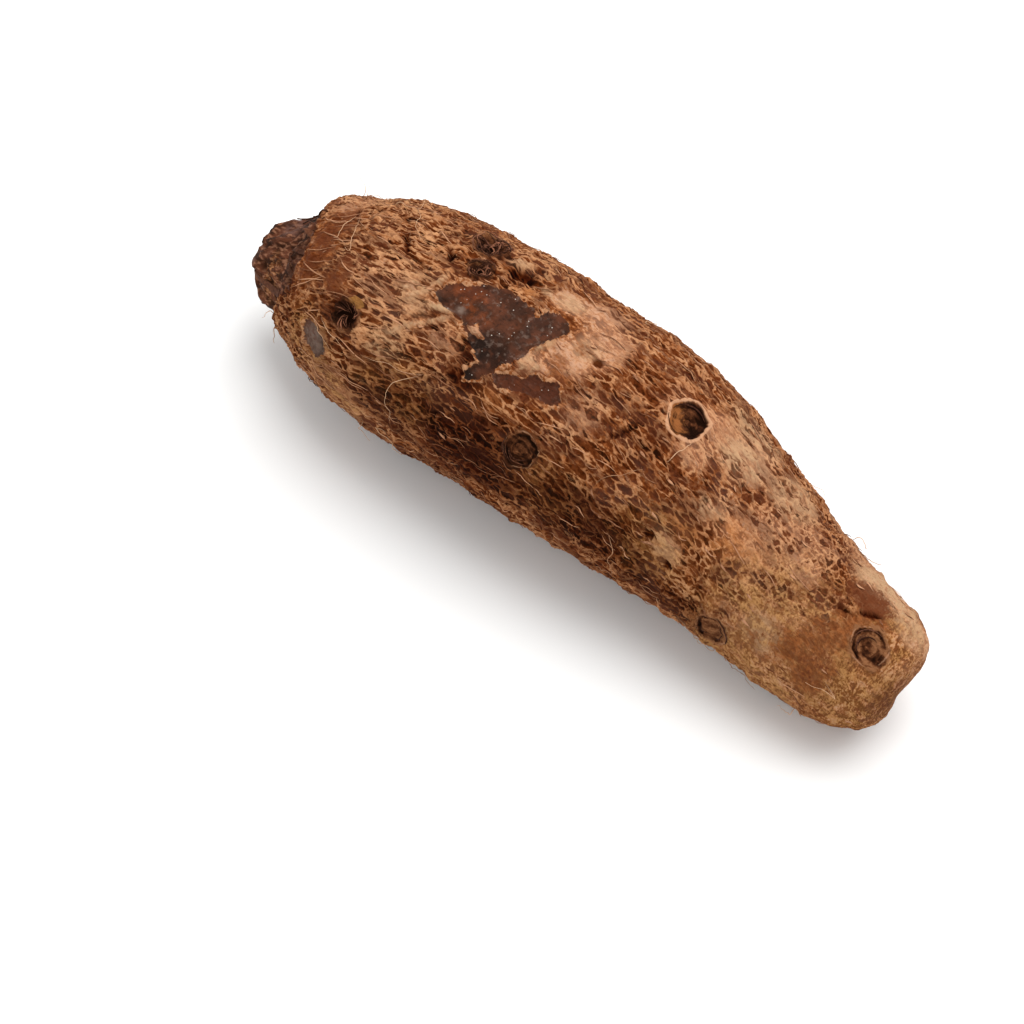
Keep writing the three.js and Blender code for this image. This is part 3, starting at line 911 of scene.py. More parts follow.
    def height(self, w: Wiring, skin: Socket, made: dict[str, Socket]) -> Socket:
        """Relief of the skin in millimetres.

        Args:
            w: wiring of the group.
            skin: skin coordinates.
            made: the parts of the net.

        Returns:
            Crests, fibres and fine crumbs over the sunk flecks, or the floor of a worn patch,
            the stub or an eye where one lies there.
        """
        sunk = w.math("MULTIPLY_ADD", made["Cell"], 0.3, 0.16)
        net = w.math("MULTIPLY", made["Fleck"], w.math("MULTIPLY", sunk, -1.0))
        net = w.math("MULTIPLY_ADD", made["Crest"], 0.34, net)
        net = w.math("MULTIPLY_ADD", made["Fibre"], 0.2, net)
        net = w.math("MULTIPLY_ADD", w.math("SUBTRACT", made["Streak"], 0.5), 0.8, net)
        net = w.math("MULTIPLY_ADD", w.math("SUBTRACT", made["Grit"], 0.5), 0.6, net)
        bare = w.math("ADD", w.swing(skin, 0.4, 0.8, 2), w.swing(skin, 1.7, 0.9, 5))
        bare = w.math("ADD", bare, -0.5)
        net = w.blend(made["Worn"], net, bare)
        net = w.math("MULTIPLY_ADD", made["Lip"], 0.38, net)
        long = w.vector("MULTIPLY", skin, (0.5, 1.0, 1.0))
        crack = w.math("ABSOLUTE", w.math("SUBTRACT", w.noise(long, 0.13, 1), 0.5))
        folds = w.math("ADD", w.step(crack, 0.0, 0.12, -0.9, 0.1), w.swing(long, 0.45, 1.6, 4))
        net = w.blend(made["Stub"], net, folds)
        ridge = w.math("ABSOLUTE", w.math("SUBTRACT", made["Whorl"], 0.5))
        ridge = w.step(ridge, 0.0, 0.10, 0.42, -0.15)
        ridge = w.math("MULTIPLY_ADD", made["Groove"], -0.6, ridge)
        return w.blend(made["Eye"], net, ridge)

    def measure(self, body: bpy.types.Object, tones: dict[str, tuple[str, int]]) -> np.ndarray:
        """Reads the relief at the corners of a mesh that carries the skin's attributes.

        Args:
            body: object whose mesh is measured.
            tones: for each number that the group takes, its attribute and part.

        Returns:
            The relief in millimetres, with the coarser lumps of the skin added.
        """
        tree = bpy.data.node_groups.new("measure_relief", TreeKind.MEASURE.value)
        tree.interface.new_socket("Geometry", in_out="INPUT", socket_type="NodeSocketGeometry")
        tree.interface.new_socket("Geometry", in_out="OUTPUT", socket_type="NodeSocketGeometry")
        w = Wiring(tree)

        def named(name: str, kind: str) -> Socket:
            """An attribute of the measured mesh."""
            node = w.add("GeometryNodeInputNamedAttribute", {"data_type": kind}, {"Name": name})
            return node.outputs["Attribute"]

        skin = named("skin", "FLOAT_VECTOR")
        feeds = {"Skin": skin, "Spot": named("spot", "FLOAT_VECTOR")}
        for name, (attribute, part) in tones.items():
            if part < 0:
                feeds[name] = named(attribute, "FLOAT")
            else:
                feeds[name] = w.split(named(attribute, "FLOAT_VECTOR"))[part]
        group = w.add("GeometryNodeGroup", {"node_tree": self.grow(TreeKind.MEASURE)}, feeds)
        height = w.math("ADD", group.outputs["Height"], w.swing(skin, 0.11, 1.9))
        height = w.math("ADD", height, w.swing(skin, 0.34, 0.6))
        source = w.add("NodeGroupInput").outputs[0]
        feeds = {"Geometry": source, "Name": "relief", "Value": height}
        store = w.add("GeometryNodeStoreNamedAttribute", {"data_type": "FLOAT", "domain": "POINT"}, feeds)
        w.add("NodeGroupOutput", None, {0: store.outputs[0]})
        modifier = body.modifiers.new("measure", "NODES")
        modifier.node_group = tree
        evaluated = body.evaluated_get(bpy.context.evaluated_depsgraph_get())
        relief = np.zeros(len(body.data.vertices), np.float32)
        evaluated.data.attributes["relief"].data.foreach_get("value", relief)
        body.modifiers.remove(modifier)
        return relief.astype(float)


@dataclass(frozen=True)
class SkinFinish:
    """Colours and gloss of the netted skin."""

    palest: Colour = paint(191, 145, 115)
    pale: Colour = paint(184, 128, 87)
    tan: Colour = paint(143, 83, 44)
    brown: Colour = paint(109, 54, 21)
    umber: Colour = paint(83, 36, 10)
    halo: Colour = paint(102, 50, 21)
    blot: Colour = paint(80, 40, 24)
    fleck_light: Colour = paint(104, 51, 20)
    fleck_mid: Colour = paint(89, 39, 11)
    fleck_dark: Colour = paint(65, 26, 4)
    fleck_deep: Colour = paint(38, 14, 2)
    fleck_grey: Colour = paint(98, 62, 48)
    fibre: Colour = paint(199, 145, 102)
    papery: Colour = paint(190, 139, 101)
    grey: Colour = paint(184, 147, 111)
    orange: Colour = paint(194, 126, 74)
    ochre: Colour = paint(180, 132, 78)
    olive: Colour = paint(122, 76, 36)
    smear: Colour = paint(111, 61, 31)
    red: Colour = paint(98, 50, 28)
    shade: Colour = paint(152, 110, 72)
    bare_black: Colour = paint(34, 20, 13)
    bare_dark: Colour = paint(62, 35, 22)
    bare_brown: Colour = paint(88, 48, 30)
    bare_glint: Colour = paint(134, 68, 34)
    bare_red: Colour = paint(86, 42, 24)
    bare_grey: Colour = paint(118, 98, 86)
    speck: Colour = paint(214, 200, 186)
    stub_dark: Colour = paint(52, 28, 16)
    stub_brown: Colour = paint(98, 56, 38)
    stub_light: Colour = paint(152, 106, 80)
    stub_sheen: Colour = paint(116, 84, 74)
    eye_black: Colour = paint(26, 10, 3)
    eye_dark: Colour = paint(56, 28, 14)
    eye_brown: Colour = paint(96, 56, 33)
    eye_light: Colour = paint(138, 92, 60)
    bud_lit_orange: Colour = paint(150, 92, 50)
    rim: Colour = paint(204, 154, 118)
    bud_tip: Colour = paint(166, 116, 60)

    def material(self, net: bpy.types.NodeTree) -> bpy.types.Material:
        """The skin's material.

        Args:
            net: the net pattern, wired for a finish.

        Returns:
            A material that reads the attributes of the skin.
        """
        material, w, shader = new_material("netted_skin")
        skin = w.attribute("skin", "Vector")
        tones = {}
        for index in range(len(Tone) // 3):
            parts = w.split(w.attribute(f"tones_{index}", "Vector"))
            tones |= {Tone(3 * index + part): parts[part] for part in range(3)}
        eye = w.split(w.attribute("eye", "Vector"))
        feeds = {
            "Skin": skin, "Spot": w.attribute("spot", "Vector"), "Reach": eye[0], "Look": eye[1],
            "Worn": w.attribute("worn"), "Pale": tones[Tone.PALE], "Dark": tones[Tone.DARK],
            "Arcs": tones[Tone.ARCS], "Stub": tones[Tone.STUB], "Smooth": tones[Tone.SMOOTH],
        }
        parts = w.add("ShaderNodeGroup", {"node_tree": net}, feeds).outputs
        colour = self.net_colour(w, skin, tones, parts)
        colour = self.patches(w, skin, tones, parts, colour)
        # The strands are in the mesh, so only the fine grain is left to the bump.
        fine = w.math("MULTIPLY_ADD", parts["Grit"], 0.75, parts["Streak"])
        bump = w.add("ShaderNodeBump", None, {"Height": fine, "Distance": 0.8 * MM, "Strength": 0.85})
        rough = w.math("MULTIPLY_ADD", parts["Worn"], -0.15, 0.76)
        rough = w.math("MULTIPLY_ADD", parts["Stub"], -0.15, rough)
        rough = w.math("ADD", rough, w.swing(skin, 0.8, 0.3))
        w.feed(shader.inputs["Base Color"], colour)
        w.feed(shader.inputs["Roughness"], rough)
        w.feed(shader.inputs["Normal"], bump.outputs["Normal"])
        w.feed(shader.inputs["Coat Weight"], w.math("MULTIPLY", parts["Worn"], 0.08))
        shader.inputs["Coat Roughness"].default_value = 0.4
        shader.inputs["Specular IOR Level"].default_value = 0.03
        return material

    def net_colour(self, w: Wiring, skin: Socket, tones: dict, parts: object) -> Socket:
        """Colour of the net.

        Args:
            w: wiring of the material.
            skin: skin coordinates.
            tones: soft patches by tone.
            parts: parts of the net.

        Returns:
            Pale strands that turn brown toward the dark flecks, under the soft patches.
        """
        grain = w.math("SUBTRACT", parts["Streak"], 0.5)
        grit = w.math("SUBTRACT", parts["Grit"], 0.5)
        level = w.math("ADD", w.swing(skin, 0.2, 1.4, 3), 0.25)
        level = w.math("MULTIPLY_ADD", tones[Tone.PALE], 0.32, level)
        level = w.math("MULTIPLY_ADD", grit, 2.2, level)
        level = w.math("MULTIPLY_ADD", tones[Tone.ARCS], 0.2, level)
        level = w.math("MULTIPLY_ADD", w.math("SUBTRACT", parts["Cell"], 0.5), 0.3, level)
        level = w.math("MULTIPLY_ADD", tones[Tone.DARK], -0.3, level)
        cloud = w.step(w.math("MULTIPLY_ADD", grain, 0.6, parts["Cloud"]), 0.34, 0.64, -0.26, 0.4)
        level = w.math("MULTIPLY_ADD", cloud, tones[Tone.SMOOTH], level)
        level = w.math("MULTIPLY_ADD", grain, w.math("MULTIPLY_ADD", tones[Tone.SMOOTH], -1.6, 2.0), level)
        stops = ((0.0, self.umber), (0.25, self.brown), (0.5, self.tan), (0.75, self.pale), (1.0, self.palest))
        colour = w.ramp(level, stops)
        colour = w.tint(w.step(parts["Net"], -0.12, -0.01, 0.0, 0.7), colour, self.halo)
        inner = w.math("MULTIPLY_ADD", grain, 1.4, w.math("MULTIPLY_ADD", parts["Cell"], 0.5, 0.3))
        inner = w.math("MULTIPLY_ADD", grit, 2.2, inner)
        inner = w.math("ADD", inner, w.swing(skin, 0.12, 1.0))
        inner = w.math("ADD", inner, w.step(parts["Net"], 0.0, 0.16, 0.25, -0.1))
        inner = w.math("MULTIPLY_ADD", tones[Tone.DARK], -0.42, inner)
        inner = w.math("MULTIPLY_ADD", tones[Tone.ARCS], 0.08, inner)
        stops = ((0.0, self.fleck_deep), (0.33, self.fleck_dark), (0.66, self.fleck_mid), (1.0, self.fleck_light))
        greyer = w.step(w.noise(skin, 0.13, 2), 0.5, 0.66, 0.0, 0.5)
        inside = w.tint(greyer, w.ramp(inner, stops), self.fleck_grey)
        colour = w.tint(parts["Fleck"], colour, inside)
        crest = w.math("MULTIPLY", parts["Crest"], w.math("MULTIPLY_ADD", tones[Tone.DARK], -0.25, 0.9))
        bright = w.math("ADD", w.swing(skin, 0.25, 2.0), w.math("MULTIPLY_ADD", grain, 1.6, 0.5))
        bright = w.math("MULTIPLY_ADD", grit, 2.6, bright)
        bright = w.math("MULTIPLY_ADD", tones[Tone.ARCS], 0.3, bright)
        bright = w.math("MULTIPLY_ADD", tones[Tone.PALE], 0.25, bright)
        colour = w.tint(crest, colour, w.tint(bright, self.tan, self.fibre))
        arcs = w.math("MULTIPLY_ADD", tones[Tone.ARCS], 0.4, 0.45)
        colour = w.tint(w.math("MULTIPLY", parts["Fibre"], arcs), colour, self.fibre)
        netted = w.math("SUBTRACT", 1.0, tones[Tone.SMOOTH])
        blot = w.math("MULTIPLY_ADD", grit, 0.5, w.noise(skin, 0.2, 3))
        colour = w.tint(w.math("MULTIPLY", netted, w.step(blot, 0.49, 0.6, 0.0, 0.62)), colour, self.blot)
        light = w.math("SUBTRACT", 1.0, w.math("MULTIPLY", parts["Fleck"], 0.75))
        even = w.math("MULTIPLY", w.math("MULTIPLY", tones[Tone.PALE], 0.35), light)
        colour = w.tint(even, colour, self.palest)
        grey = w.math("MULTIPLY", tones[Tone.GREY], w.step(w.noise(skin, 0.5, 3), 0.36, 0.56, 0.3, 1.0))
        colour = w.tint(w.math("MULTIPLY", grey, light), colour, self.grey)
        orange = w.math("MULTIPLY", tones[Tone.ORANGE], w.step(w.noise(skin, 0.4, 3), 0.38, 0.64, 0.1, 0.75))
        colour = w.tint(w.math("MULTIPLY", orange, light), colour, self.orange)
        olive = w.math("MULTIPLY", tones[Tone.OLIVE], w.step(w.noise(skin, 0.3, 4), 0.34, 0.6, 0.25, 0.8))
        mottle = w.math("MULTIPLY_ADD", grain, 0.9, w.math("MULTIPLY_ADD", grit, 1.2, parts["Cloud"]))
        mottle = w.step(w.math("ADD", mottle, w.swing(skin, 0.16, 0.9)), 0.36, 0.62)
        colour = w.tint(w.math("MULTIPLY", olive, light), colour, w.tint(mottle, self.olive, self.ochre))
        smear = w.math("MULTIPLY_ADD", grit, 2.2, tones[Tone.SMEAR])
        smear = w.step(w.math("ADD", smear, w.swing(skin, 0.4, 2.6, 5)), 0.25, 1.15, 0.0, 0.85)
        colour = w.tint(smear, colour, w.tint(w.step(w.noise(skin, 0.9, 5), 0.44, 0.62), self.smear, self.tan))
        red = w.math("MULTIPLY_ADD", grit, 2.4, tones[Tone.RED])
        red = w.step(w.math("ADD", red, w.swing(skin, 0.5, 2.6, 5)), 0.25, 1.1, 0.0, 0.85)
        colour = w.tint(red, colour, self.red)
        # The dark tone multiplies in the shade colour: painted shade on the lower flank and in the creases, and
        # darker skin, pits and eyes elsewhere.
        dark = w.math("MULTIPLY", tones[Tone.DARK], 0.85)
        colour = w.tint(dark, colour, w.tint(1.0, colour, self.shade, "MULTIPLY"))
        return colour

    def patches(self, w: Wiring, skin: Socket, tones: dict, parts: object, colour: Socket) -> Socket:
        """Colours of the worn patches, the stub and the eyes over the net.

        Args:
            w: wiring of the material.
            skin: skin coordinates.
            tones: soft patches by tone.
            parts: parts of the net.
            colour: colour of the net.

        Returns:
            The colour of the whole skin.
        """
        plain = w.math("MULTIPLY_ADD", tones[Tone.GREY], -0.8, 0.85)
        crust = w.tint(w.step(parts["Grit"], 0.42, 0.54), self.tan, self.papery)
        colour = w.tint(w.math("MULTIPLY", parts["Lip"], plain), colour, crust)
        place = w.scaled(w.add("ShaderNodeTexCoord").outputs["Object"], 1000.0)
        bare = w.tint(w.step(w.noise(place, 0.13, 5), 0.4, 0.6), self.bare_dark, self.bare_brown)
        bare = w.tint(w.math("MULTIPLY", tones[Tone.RED], 0.85), bare, self.bare_red)
        glint = w.math("MULTIPLY", tones[Tone.GLINT], w.step(w.noise(place, 0.35, 4), 0.42, 0.66))
        bare = w.tint(glint, bare, self.bare_glint)
        black = w.math("MULTIPLY", tones[Tone.DARK], w.step(w.noise(place, 0.4, 4), 0.32, 0.52))
        bare = w.tint(black, bare, self.bare_black)
        stain = w.step(w.noise(place, 0.7, 4), 0.5, 0.7, 0.0, 0.6)
        bare = w.tint(stain, bare, self.bare_black)
        dust = w.step(w.noise(place, 0.6, 4), 0.53, 0.7, 0.0, 0.4)
        dust = w.math("MULTIPLY", dust, w.math("MULTIPLY_ADD", tones[Tone.RED], -0.7, 1.0))
        bare = w.tint(dust, bare, self.bare_grey)
        film = w.math("MULTIPLY", tones[Tone.GREY], w.step(w.noise(place, 0.6, 4), 0.34, 0.58, 0.35, 0.9))
        bare = w.tint(film, bare, self.bare_grey)
        speck = w.step(w.cells(place, 1.3, "F1", "Distance"), 0.1, 0.3, 1.0, 0.0)
        rare = w.split(w.cells(place, 1.3, "F1", "Color"))[0]
        rare = w.math("ADD", rare, w.swing(place, 0.25, 0.5))
        speck = w.math("MULTIPLY", speck, w.step(rare, 0.92, 0.96))
        bare = w.tint(speck, bare, self.speck)
        colour = w.tint(parts["Worn"], colour, bare)
        long = w.vector("MULTIPLY", skin, (0.5, 1.0, 1.0))
        stub = w.tint(w.step(w.noise(long, 0.4, 5), 0.38, 0.6), self.stub_dark, self.stub_brown)
        stub = w.tint(w.step(w.noise(long, 0.8, 4), 0.51, 0.66, 0.0, 0.8), stub, self.stub_light)
        # Painted sheen on top of the stub, from the grey tone's spot there.
        sheen = w.math("MULTIPLY", tones[Tone.GREY], w.step(w.noise(skin, 0.5, 3), 0.35, 0.6))
        stub = w.tint(w.math("MULTIPLY", sheen, 0.8), stub, self.stub_sheen)
        rust = w.math("MULTIPLY", tones[Tone.ORANGE], w.step(w.noise(skin, 0.8, 3), 0.4, 0.6))
        rusty = w.tint(w.step(w.noise(skin, 1.2, 4), 0.46, 0.6), self.smear, self.pale)
        stub = w.tint(w.math("MULTIPLY", rust, 0.85), stub, rusty)
        stub = w.tint(w.math("MULTIPLY", tones[Tone.DARK], 0.6), stub, self.stub_dark)
        colour = w.tint(parts["Stub"], colour, stub)
        colour = self.eye_colour(w, tones[Tone.DARK], parts, colour)
        tip = w.step(w.math("ADD", tones[Tone.TIP], w.swing(skin, 1.2, 0.7)), 0.4, 0.55)
        return w.tint(tip, colour, w.tint(w.noise(place, 0.9), self.eye_brown, self.bud_tip))

    def eye_colour(self, w: Wiring, shaded: Socket, parts: object, colour: Socket) -> Socket:
        """Colour of the eyes over the skin.

        Args:
            w: wiring of the material.
            shaded: strength of the dark tone.
            parts: parts of the net.
            colour: colour of the skin round them.

        Returns:
            Inside an eye, a ramp over its darkness with streaks round its middle and painted shade
            in its groove. A clean eye has a bud that is orange toward the stalk, its painted lit
            side, and dark on the rest, partly painted shade, inside a thin pale rim.
        """
        reach, look, dark = w.split(w.attribute("eye", "Vector"))
        clean = w.step(look, 0.3, 0.7)
        toward = w.split(w.attribute("spot", "Vector"))[0]
        whorl = w.math("SUBTRACT", parts["Whorl"], 0.5)
        blotch = w.swing(w.attribute("skin", "Vector"), 0.6, 1.6, 4)
        dark = w.math("ADD", w.math("MULTIPLY_ADD", whorl, 1.4, dark), blotch)
        # Painted shade in the sunk groove.
        dark = w.math("MULTIPLY_ADD", parts["Groove"], 0.65, dark)
        dark = w.math("MULTIPLY_ADD", shaded, 0.5, dark)
        stops = ((0.0, self.eye_light), (0.3, self.eye_brown), (0.62, self.eye_dark), (0.95, self.eye_black))
        inside = w.ramp(dark, stops)
        # Painted light and shade: the bud is orange on its lit side toward open_to, over its own orange-brown, and
        # dark elsewhere.
        side = w.math("MULTIPLY_ADD", whorl, 7.0, toward)
        bud = w.math("MULTIPLY", clean, w.step(side, 0.6, 2.6, 0.0, 0.85))
        inside = w.tint(bud, inside, w.tint(w.step(dark, 0.8, 1.3), self.bud_lit_orange, self.eye_dark))
        colour = w.tint(parts["Eye"], colour, inside)
        rim = w.step(w.math("ABSOLUTE", w.math("SUBTRACT", reach, 0.98)), 0.03, 0.09, 0.8, 0.0)
        colour = w.tint(w.math("MULTIPLY", rim, clean), colour, self.rim)
        ring = w.step(w.math("ABSOLUTE", w.math("SUBTRACT", reach, 1.04)), 0.02, 0.07, 0.4, 0.0)
        ring = w.math("MULTIPLY", ring, w.step(look, -0.7, -0.3, 1.0, 0.0))
        ring = w.math("MULTIPLY", ring, w.step(parts["Whorl"], 0.48, 0.6))
        return w.tint(ring, colour, self.rim)


@dataclass
class Skin:
    """The whole corm's skin: a closed grid of rings and sides with its relief in the mesh."""

    form: CormForm
    net: FleckNet
    finish: SkinFinish
    rings: int = 290
    sides: int = 340
    level: float = -0.45
    fibre_radius: float = 34.0
    distance: np.ndarray = field(default=None, repr=False)
    radius: np.ndarray = field(default=None, repr=False)
    plain: np.ndarray = field(default=None, repr=False)
    outward: np.ndarray = field(default=None, repr=False)
    points: np.ndarray = field(default=None, repr=False)
    worn: np.ndarray = field(default=None, repr=False)

    def fibre_slope(self, distance: np.ndarray) -> np.ndarray:
        """How far a fibre runs round the corm for each millimetre along it."""
        return -0.25 + 0.25 * smooth(distance, 25, 50) + 0.13 * smooth(distance, 60, 120)

    def lay_grid(self) -> tuple[np.ndarray, np.ndarray, np.ndarray, np.ndarray]:
        """Grid of rings and sides.

        Returns:
            Distances, angles, plain radii and lengths along the outline, all ring by side.
        """
        distance, radius, length = self.form.rings(self.rings)
        angle = 2 * math.pi * np.arange(self.sides) / self.sides
        shape = (self.rings, self.sides)
        spread = [np.broadcast_to(row[:, None], shape) for row in (distance, radius, length)]
        return spread[0], np.broadcast_to(angle, shape), spread[1], spread[2]

    def tone_fields(self, distance: np.ndarray, angle: np.ndarray, radius: np.ndarray) -> np.ndarray:
        """Strength of each tone on the grid.

        Args:
            distance: distances from the stalk end.
            angle: angles round the corm, in radians.
            radius: plain radii.

        Returns:
            For each tone, the largest of its spots' strengths times one less a soft step.
        """
        fields = np.zeros((len(Tone), *distance.shape))
        for tone, spots in TONES.items():
            for spot in spots:
                reach = spot.reach(distance, angle, radius)
                fields[tone.value] = np.maximum(fields[tone.value], spot.strength * (1 - smooth(reach, 0.4, 1.15)))
        fields[Tone.STUB.value] = self.form.stub_share(distance, angle)
        return fields

    def worn_depth(self, distance: np.ndarray, angle: np.ndarray, radius: np.ndarray) -> np.ndarray:
        """Millimetres inside the edge of the nearest worn patch, negative outside it.

        For each patch with corners, this is the distance to the nearest of its sides, with a
        sign from how often a line across the corm crosses its sides.

        Args:
            distance: distances from the stalk end.
            angle: angles round the corm, in radians.
            radius: plain radii.

        Returns:
            The depths, held between minus and plus six millimetres.
        """
        depth = np.full(distance.shape, -6.0)
        across = turn_between(angle, 105 * DEGREE) * self.fibre_radius
        for corners in WORN_PATCHES:
            x = np.array([corner[0] for corner in corners])
            y = np.array([(corner[1] - 105) * DEGREE * self.fibre_radius for corner in corners])
            nearest = np.full(distance.shape, 99.0)
            inside = np.zeros(distance.shape, bool)
            for x0, y0, x1, y1 in zip(x, y, np.roll(x, -1), np.roll(y, -1)):
                run, rise = x1 - x0, y1 - y0
                share = ((distance - x0) * run + (across - y0) * rise) / (run * run + rise * rise)
                share = np.clip(share, 0, 1)
                gap = np.hypot(distance - x0 - share * run, across - y0 - share * rise)
                nearest = np.minimum(nearest, gap)
                between = (y0 > across) != (y1 > across)
                rise = rise if abs(rise) > 1e-9 else 1e-9
                inside ^= between & (distance < x0 + run * (across - y0) / rise)
            depth = np.maximum(depth, np.where(inside, nearest, -nearest))
        for oval in WORN_OVALS:
            reach = oval.reach(distance, angle, radius)
            depth = np.maximum(depth, (1 - reach) * min(oval.half_length, oval.half_width))
        for sliver in WORN_SLIVERS:
            reach = sliver.reach(distance, angle, radius)
            depth = np.minimum(depth, 2.2 * (reach - 1) * sliver.half_width)
        return np.clip(depth, -6, 6)

    def eye_relief(self, eye: Eye, reach: np.ndarray, heading: np.ndarray) -> np.ndarray:
        """Rim, rings and bud of one eye.

        Args:
            eye: the eye.
            reach: distance from its middle as a share of its rim's radius.
            heading: direction from its middle, in radians.

        Returns:
            Bell-shaped rings at set reaches, with the rim lower toward one side.
        """
        uneven = 0.75 + 0.25 * np.cos(heading + eye.distance) + 0.12 * np.cos(3 * heading + eye.angle)
        closed = 0.5 - 0.5 * np.cos(heading - eye.open_to * DEGREE)
        if eye.kind is EyeKind.WHORL:
            rim = 0.5 * eye.rim * uneven * np.exp(-(((reach - 1.06) / 0.12) ** 2))
            return rim + 0.7 * eye.bud * (0.4 + 0.6 * closed) * np.exp(-((reach / 0.6) ** 4))
        if eye.kind is EyeKind.CLEAN:
            rim = eye.rim * (0.85 + 0.15 * uneven) * np.exp(-(((reach - 0.97) / 0.09) ** 2))
            groove = 0.5 * np.exp(-(((reach - 0.76) / 0.12) ** 2))
            crack = 0.8 * np.exp(-(((reach * np.cos(heading + 2.2) - 0.25 * uneven) / 0.11) ** 2))
            bud = 0.7 * eye.bud * np.exp(-((reach / 0.6) ** 4))
            return rim - groove + bud - crack * np.exp(-((reach / 0.8) ** 6))
        rim = eye.rim * uneven * np.exp(-(((reach - 0.98) / 0.16) ** 2))
        deeper = 1.0 if eye.kind is EyeKind.HOLE else 0.7
        return 0.7 * rim - deeper * np.exp(-((reach / 0.62) ** 4))

    def build(self) -> bpy.types.Object:
        """Builds the skin.

        The plain body gets the eyes and pits. It is then moved along its own outward
        direction by the relief that the net pattern gives at each corner, and pressed flat
        where it lies on the table.

        Returns:
            The skin's object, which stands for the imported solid.
        """
        distance, angle, radius, length = self.lay_grid()
        tall = self.form.skin_radius(distance, angle, radius)
        fade = np.clip(radius / self.form.detail_radius, 0, 1)
        nearest = np.full(distance.shape, 9.0)
        spot = np.zeros((*distance.shape, 3))
        look, shade = np.zeros(distance.shape), np.zeros(distance.shape)
        for number, eye in enumerate(EYES):
            reach = self.form.eye_reach(eye, distance, angle, radius)
            across = turn_between(angle, eye.angle * DEGREE) * radius
            heading = np.arctan2(across, distance - eye.distance)
            wobble = 0.07 * np.cos(2 * heading + eye.angle) + 0.05 * np.cos(5 * heading + eye.distance)
            reach = reach * (1 + wobble)
            relief = self.eye_relief(eye, reach, heading)
            tall = tall + fade * relief
            closer = reach < nearest
            look = np.where(closer, {EyeKind.CLEAN: 1.0, EyeKind.WHORL: -1.0}.get(eye.kind, 0.0), look)
            # Painted shade and light: darker where the eye sinks, lighter where it rises, over its own darkness.
            dark = eye.shade + 0.75 * np.clip(-relief, 0, 1) - 0.3 * np.clip(relief, 0, 1)
            shade = np.where(closer, dark, shade)
            turned = heading - eye.open_to * DEGREE
            far = np.hypot(across, distance - eye.distance)
            local = np.stack([far * np.cos(turned), far * np.sin(turned), 7.0 * number + 0 * far], -1)
            spot = np.where(closer[..., None], local, spot)
            nearest = np.minimum(nearest, reach)
        for pit in PITS:
            tall = tall - 0.9 * np.exp(-(pit.reach(distance, angle, radius) ** 4))
        creased = np.zeros(distance.shape)
        for crease in CREASES:
            hollow = crease.strength * (1 - smooth(crease.reach(distance, angle, radius), 0.3, 1.2))
            creased = np.maximum(creased, hollow)
        folded = np.zeros(distance.shape)
        for fold in FOLDS:
            risen = fold.strength * (1 - smooth(fold.reach(distance, angle, radius), 0.3, 1.2))
            folded = np.maximum(folded, risen)
        tall = tall - 1.1 * creased + 0.9 * folded + self.level * fade
        self.worn = self.worn_depth(distance, angle, radius)
        plain = self.form.point(distance, angle, tall)
        run, around = np.gradient(plain, axis=0), np.roll(plain, -1, 1) - np.roll(plain, 1, 1)
        self.outward = unit(np.cross(around, run))
        self.plain = plain

        ring_distance = distance[:, 0]
        turned = np.r_[0, np.cumsum(self.fibre_slope(ring_distance[1:]) * np.diff(ring_distance))]
        twisted = angle - turned[:, None] / self.fibre_radius
        stretch = 2.8 + 0.6 * (1 - smooth(ring_distance, 30, 75)) - 1.5 * smooth(ring_distance, 160, 205)
        along = np.r_[0, np.cumsum(np.diff(length[:, 0]) / stretch[1:])]
        flat = np.broadcast_to(along[:, None], distance.shape)
        skin = np.stack([flat, radius * np.cos(twisted), radius * np.sin(twisted)], -1)
        tones = self.tone_fields(distance, angle, radius)
        # The dark tone is raised in the pits and paints shade into the creases.
        for pit in PITS:
            hollow = 1 - smooth(pit.reach(distance, angle, radius), 0.6, 1.1)
            tones[Tone.DARK.value] = np.maximum(tones[Tone.DARK.value], 1.3 * hollow)
        tones[Tone.DARK.value] = np.maximum(tones[Tone.DARK.value], 1.1 * creased)
        for tone, share in ((Tone.GREY, 1.0), (Tone.SMOOTH, 0.8), (Tone.PALE, 0.5)):
            tones[tone.value] = np.maximum(tones[tone.value], share * folded)

        def closed(values: np.ndarray) -> np.ndarray:
            """Grid values as corners, with one corner at each end."""
            body = values[1:-1].reshape((-1, *values.shape[2:]))
            return np.concatenate([body, values[:1, 0], values[-1:, 0]])

        eye_field = np.stack([np.minimum(nearest, 4), look, shade], -1)
        attributes = {"skin": closed(skin), "spot": closed(spot), "eye": closed(eye_field), "worn": closed(self.worn)}
        for index in range(len(Tone) // 3):
            attributes[f"tones_{index}"] = closed(np.moveaxis(tones[3 * index:3 * index + 3], 0, -1))
        faces = self.faces()
        material = self.finish.material(self.net.grow(TreeKind.FINISH))
        piece = make_piece("malanga_skin", closed(plain), faces, material, attributes)
        sources = {"Reach": ("eye", 0), "Look": ("eye", 1), "Worn": ("worn", -1), "Pale": ("tones_0", 0),
                   "Dark": ("tones_0", 2), "Arcs": ("tones_2", 1), "Stub": ("tones_2", 2),
                   "Smooth": ("tones_3", 0)}
        relief = self.net.measure(piece, sources)
        shaped = closed(plain) + closed(self.outward) * (relief * closed(fade))[:, None]
        shaped[:, 2] = np.maximum(shaped[:, 2], 0)
        piece.data.vertices.foreach_set("co", (shaped * MM).astype(np.float32).ravel())
        piece.data.update()
        grid = shaped[:-2].reshape(self.rings - 2, self.sides, 3)
        self.points = np.concatenate([np.broadcast_to(shaped[-2], (1, self.sides, 3)), grid,
                                      np.broadcast_to(shaped[-1], (1, self.sides, 3))])
        self.distance = ring_distance
        self.radius = radius[:, 0]
        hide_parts("malanga")
        return piece

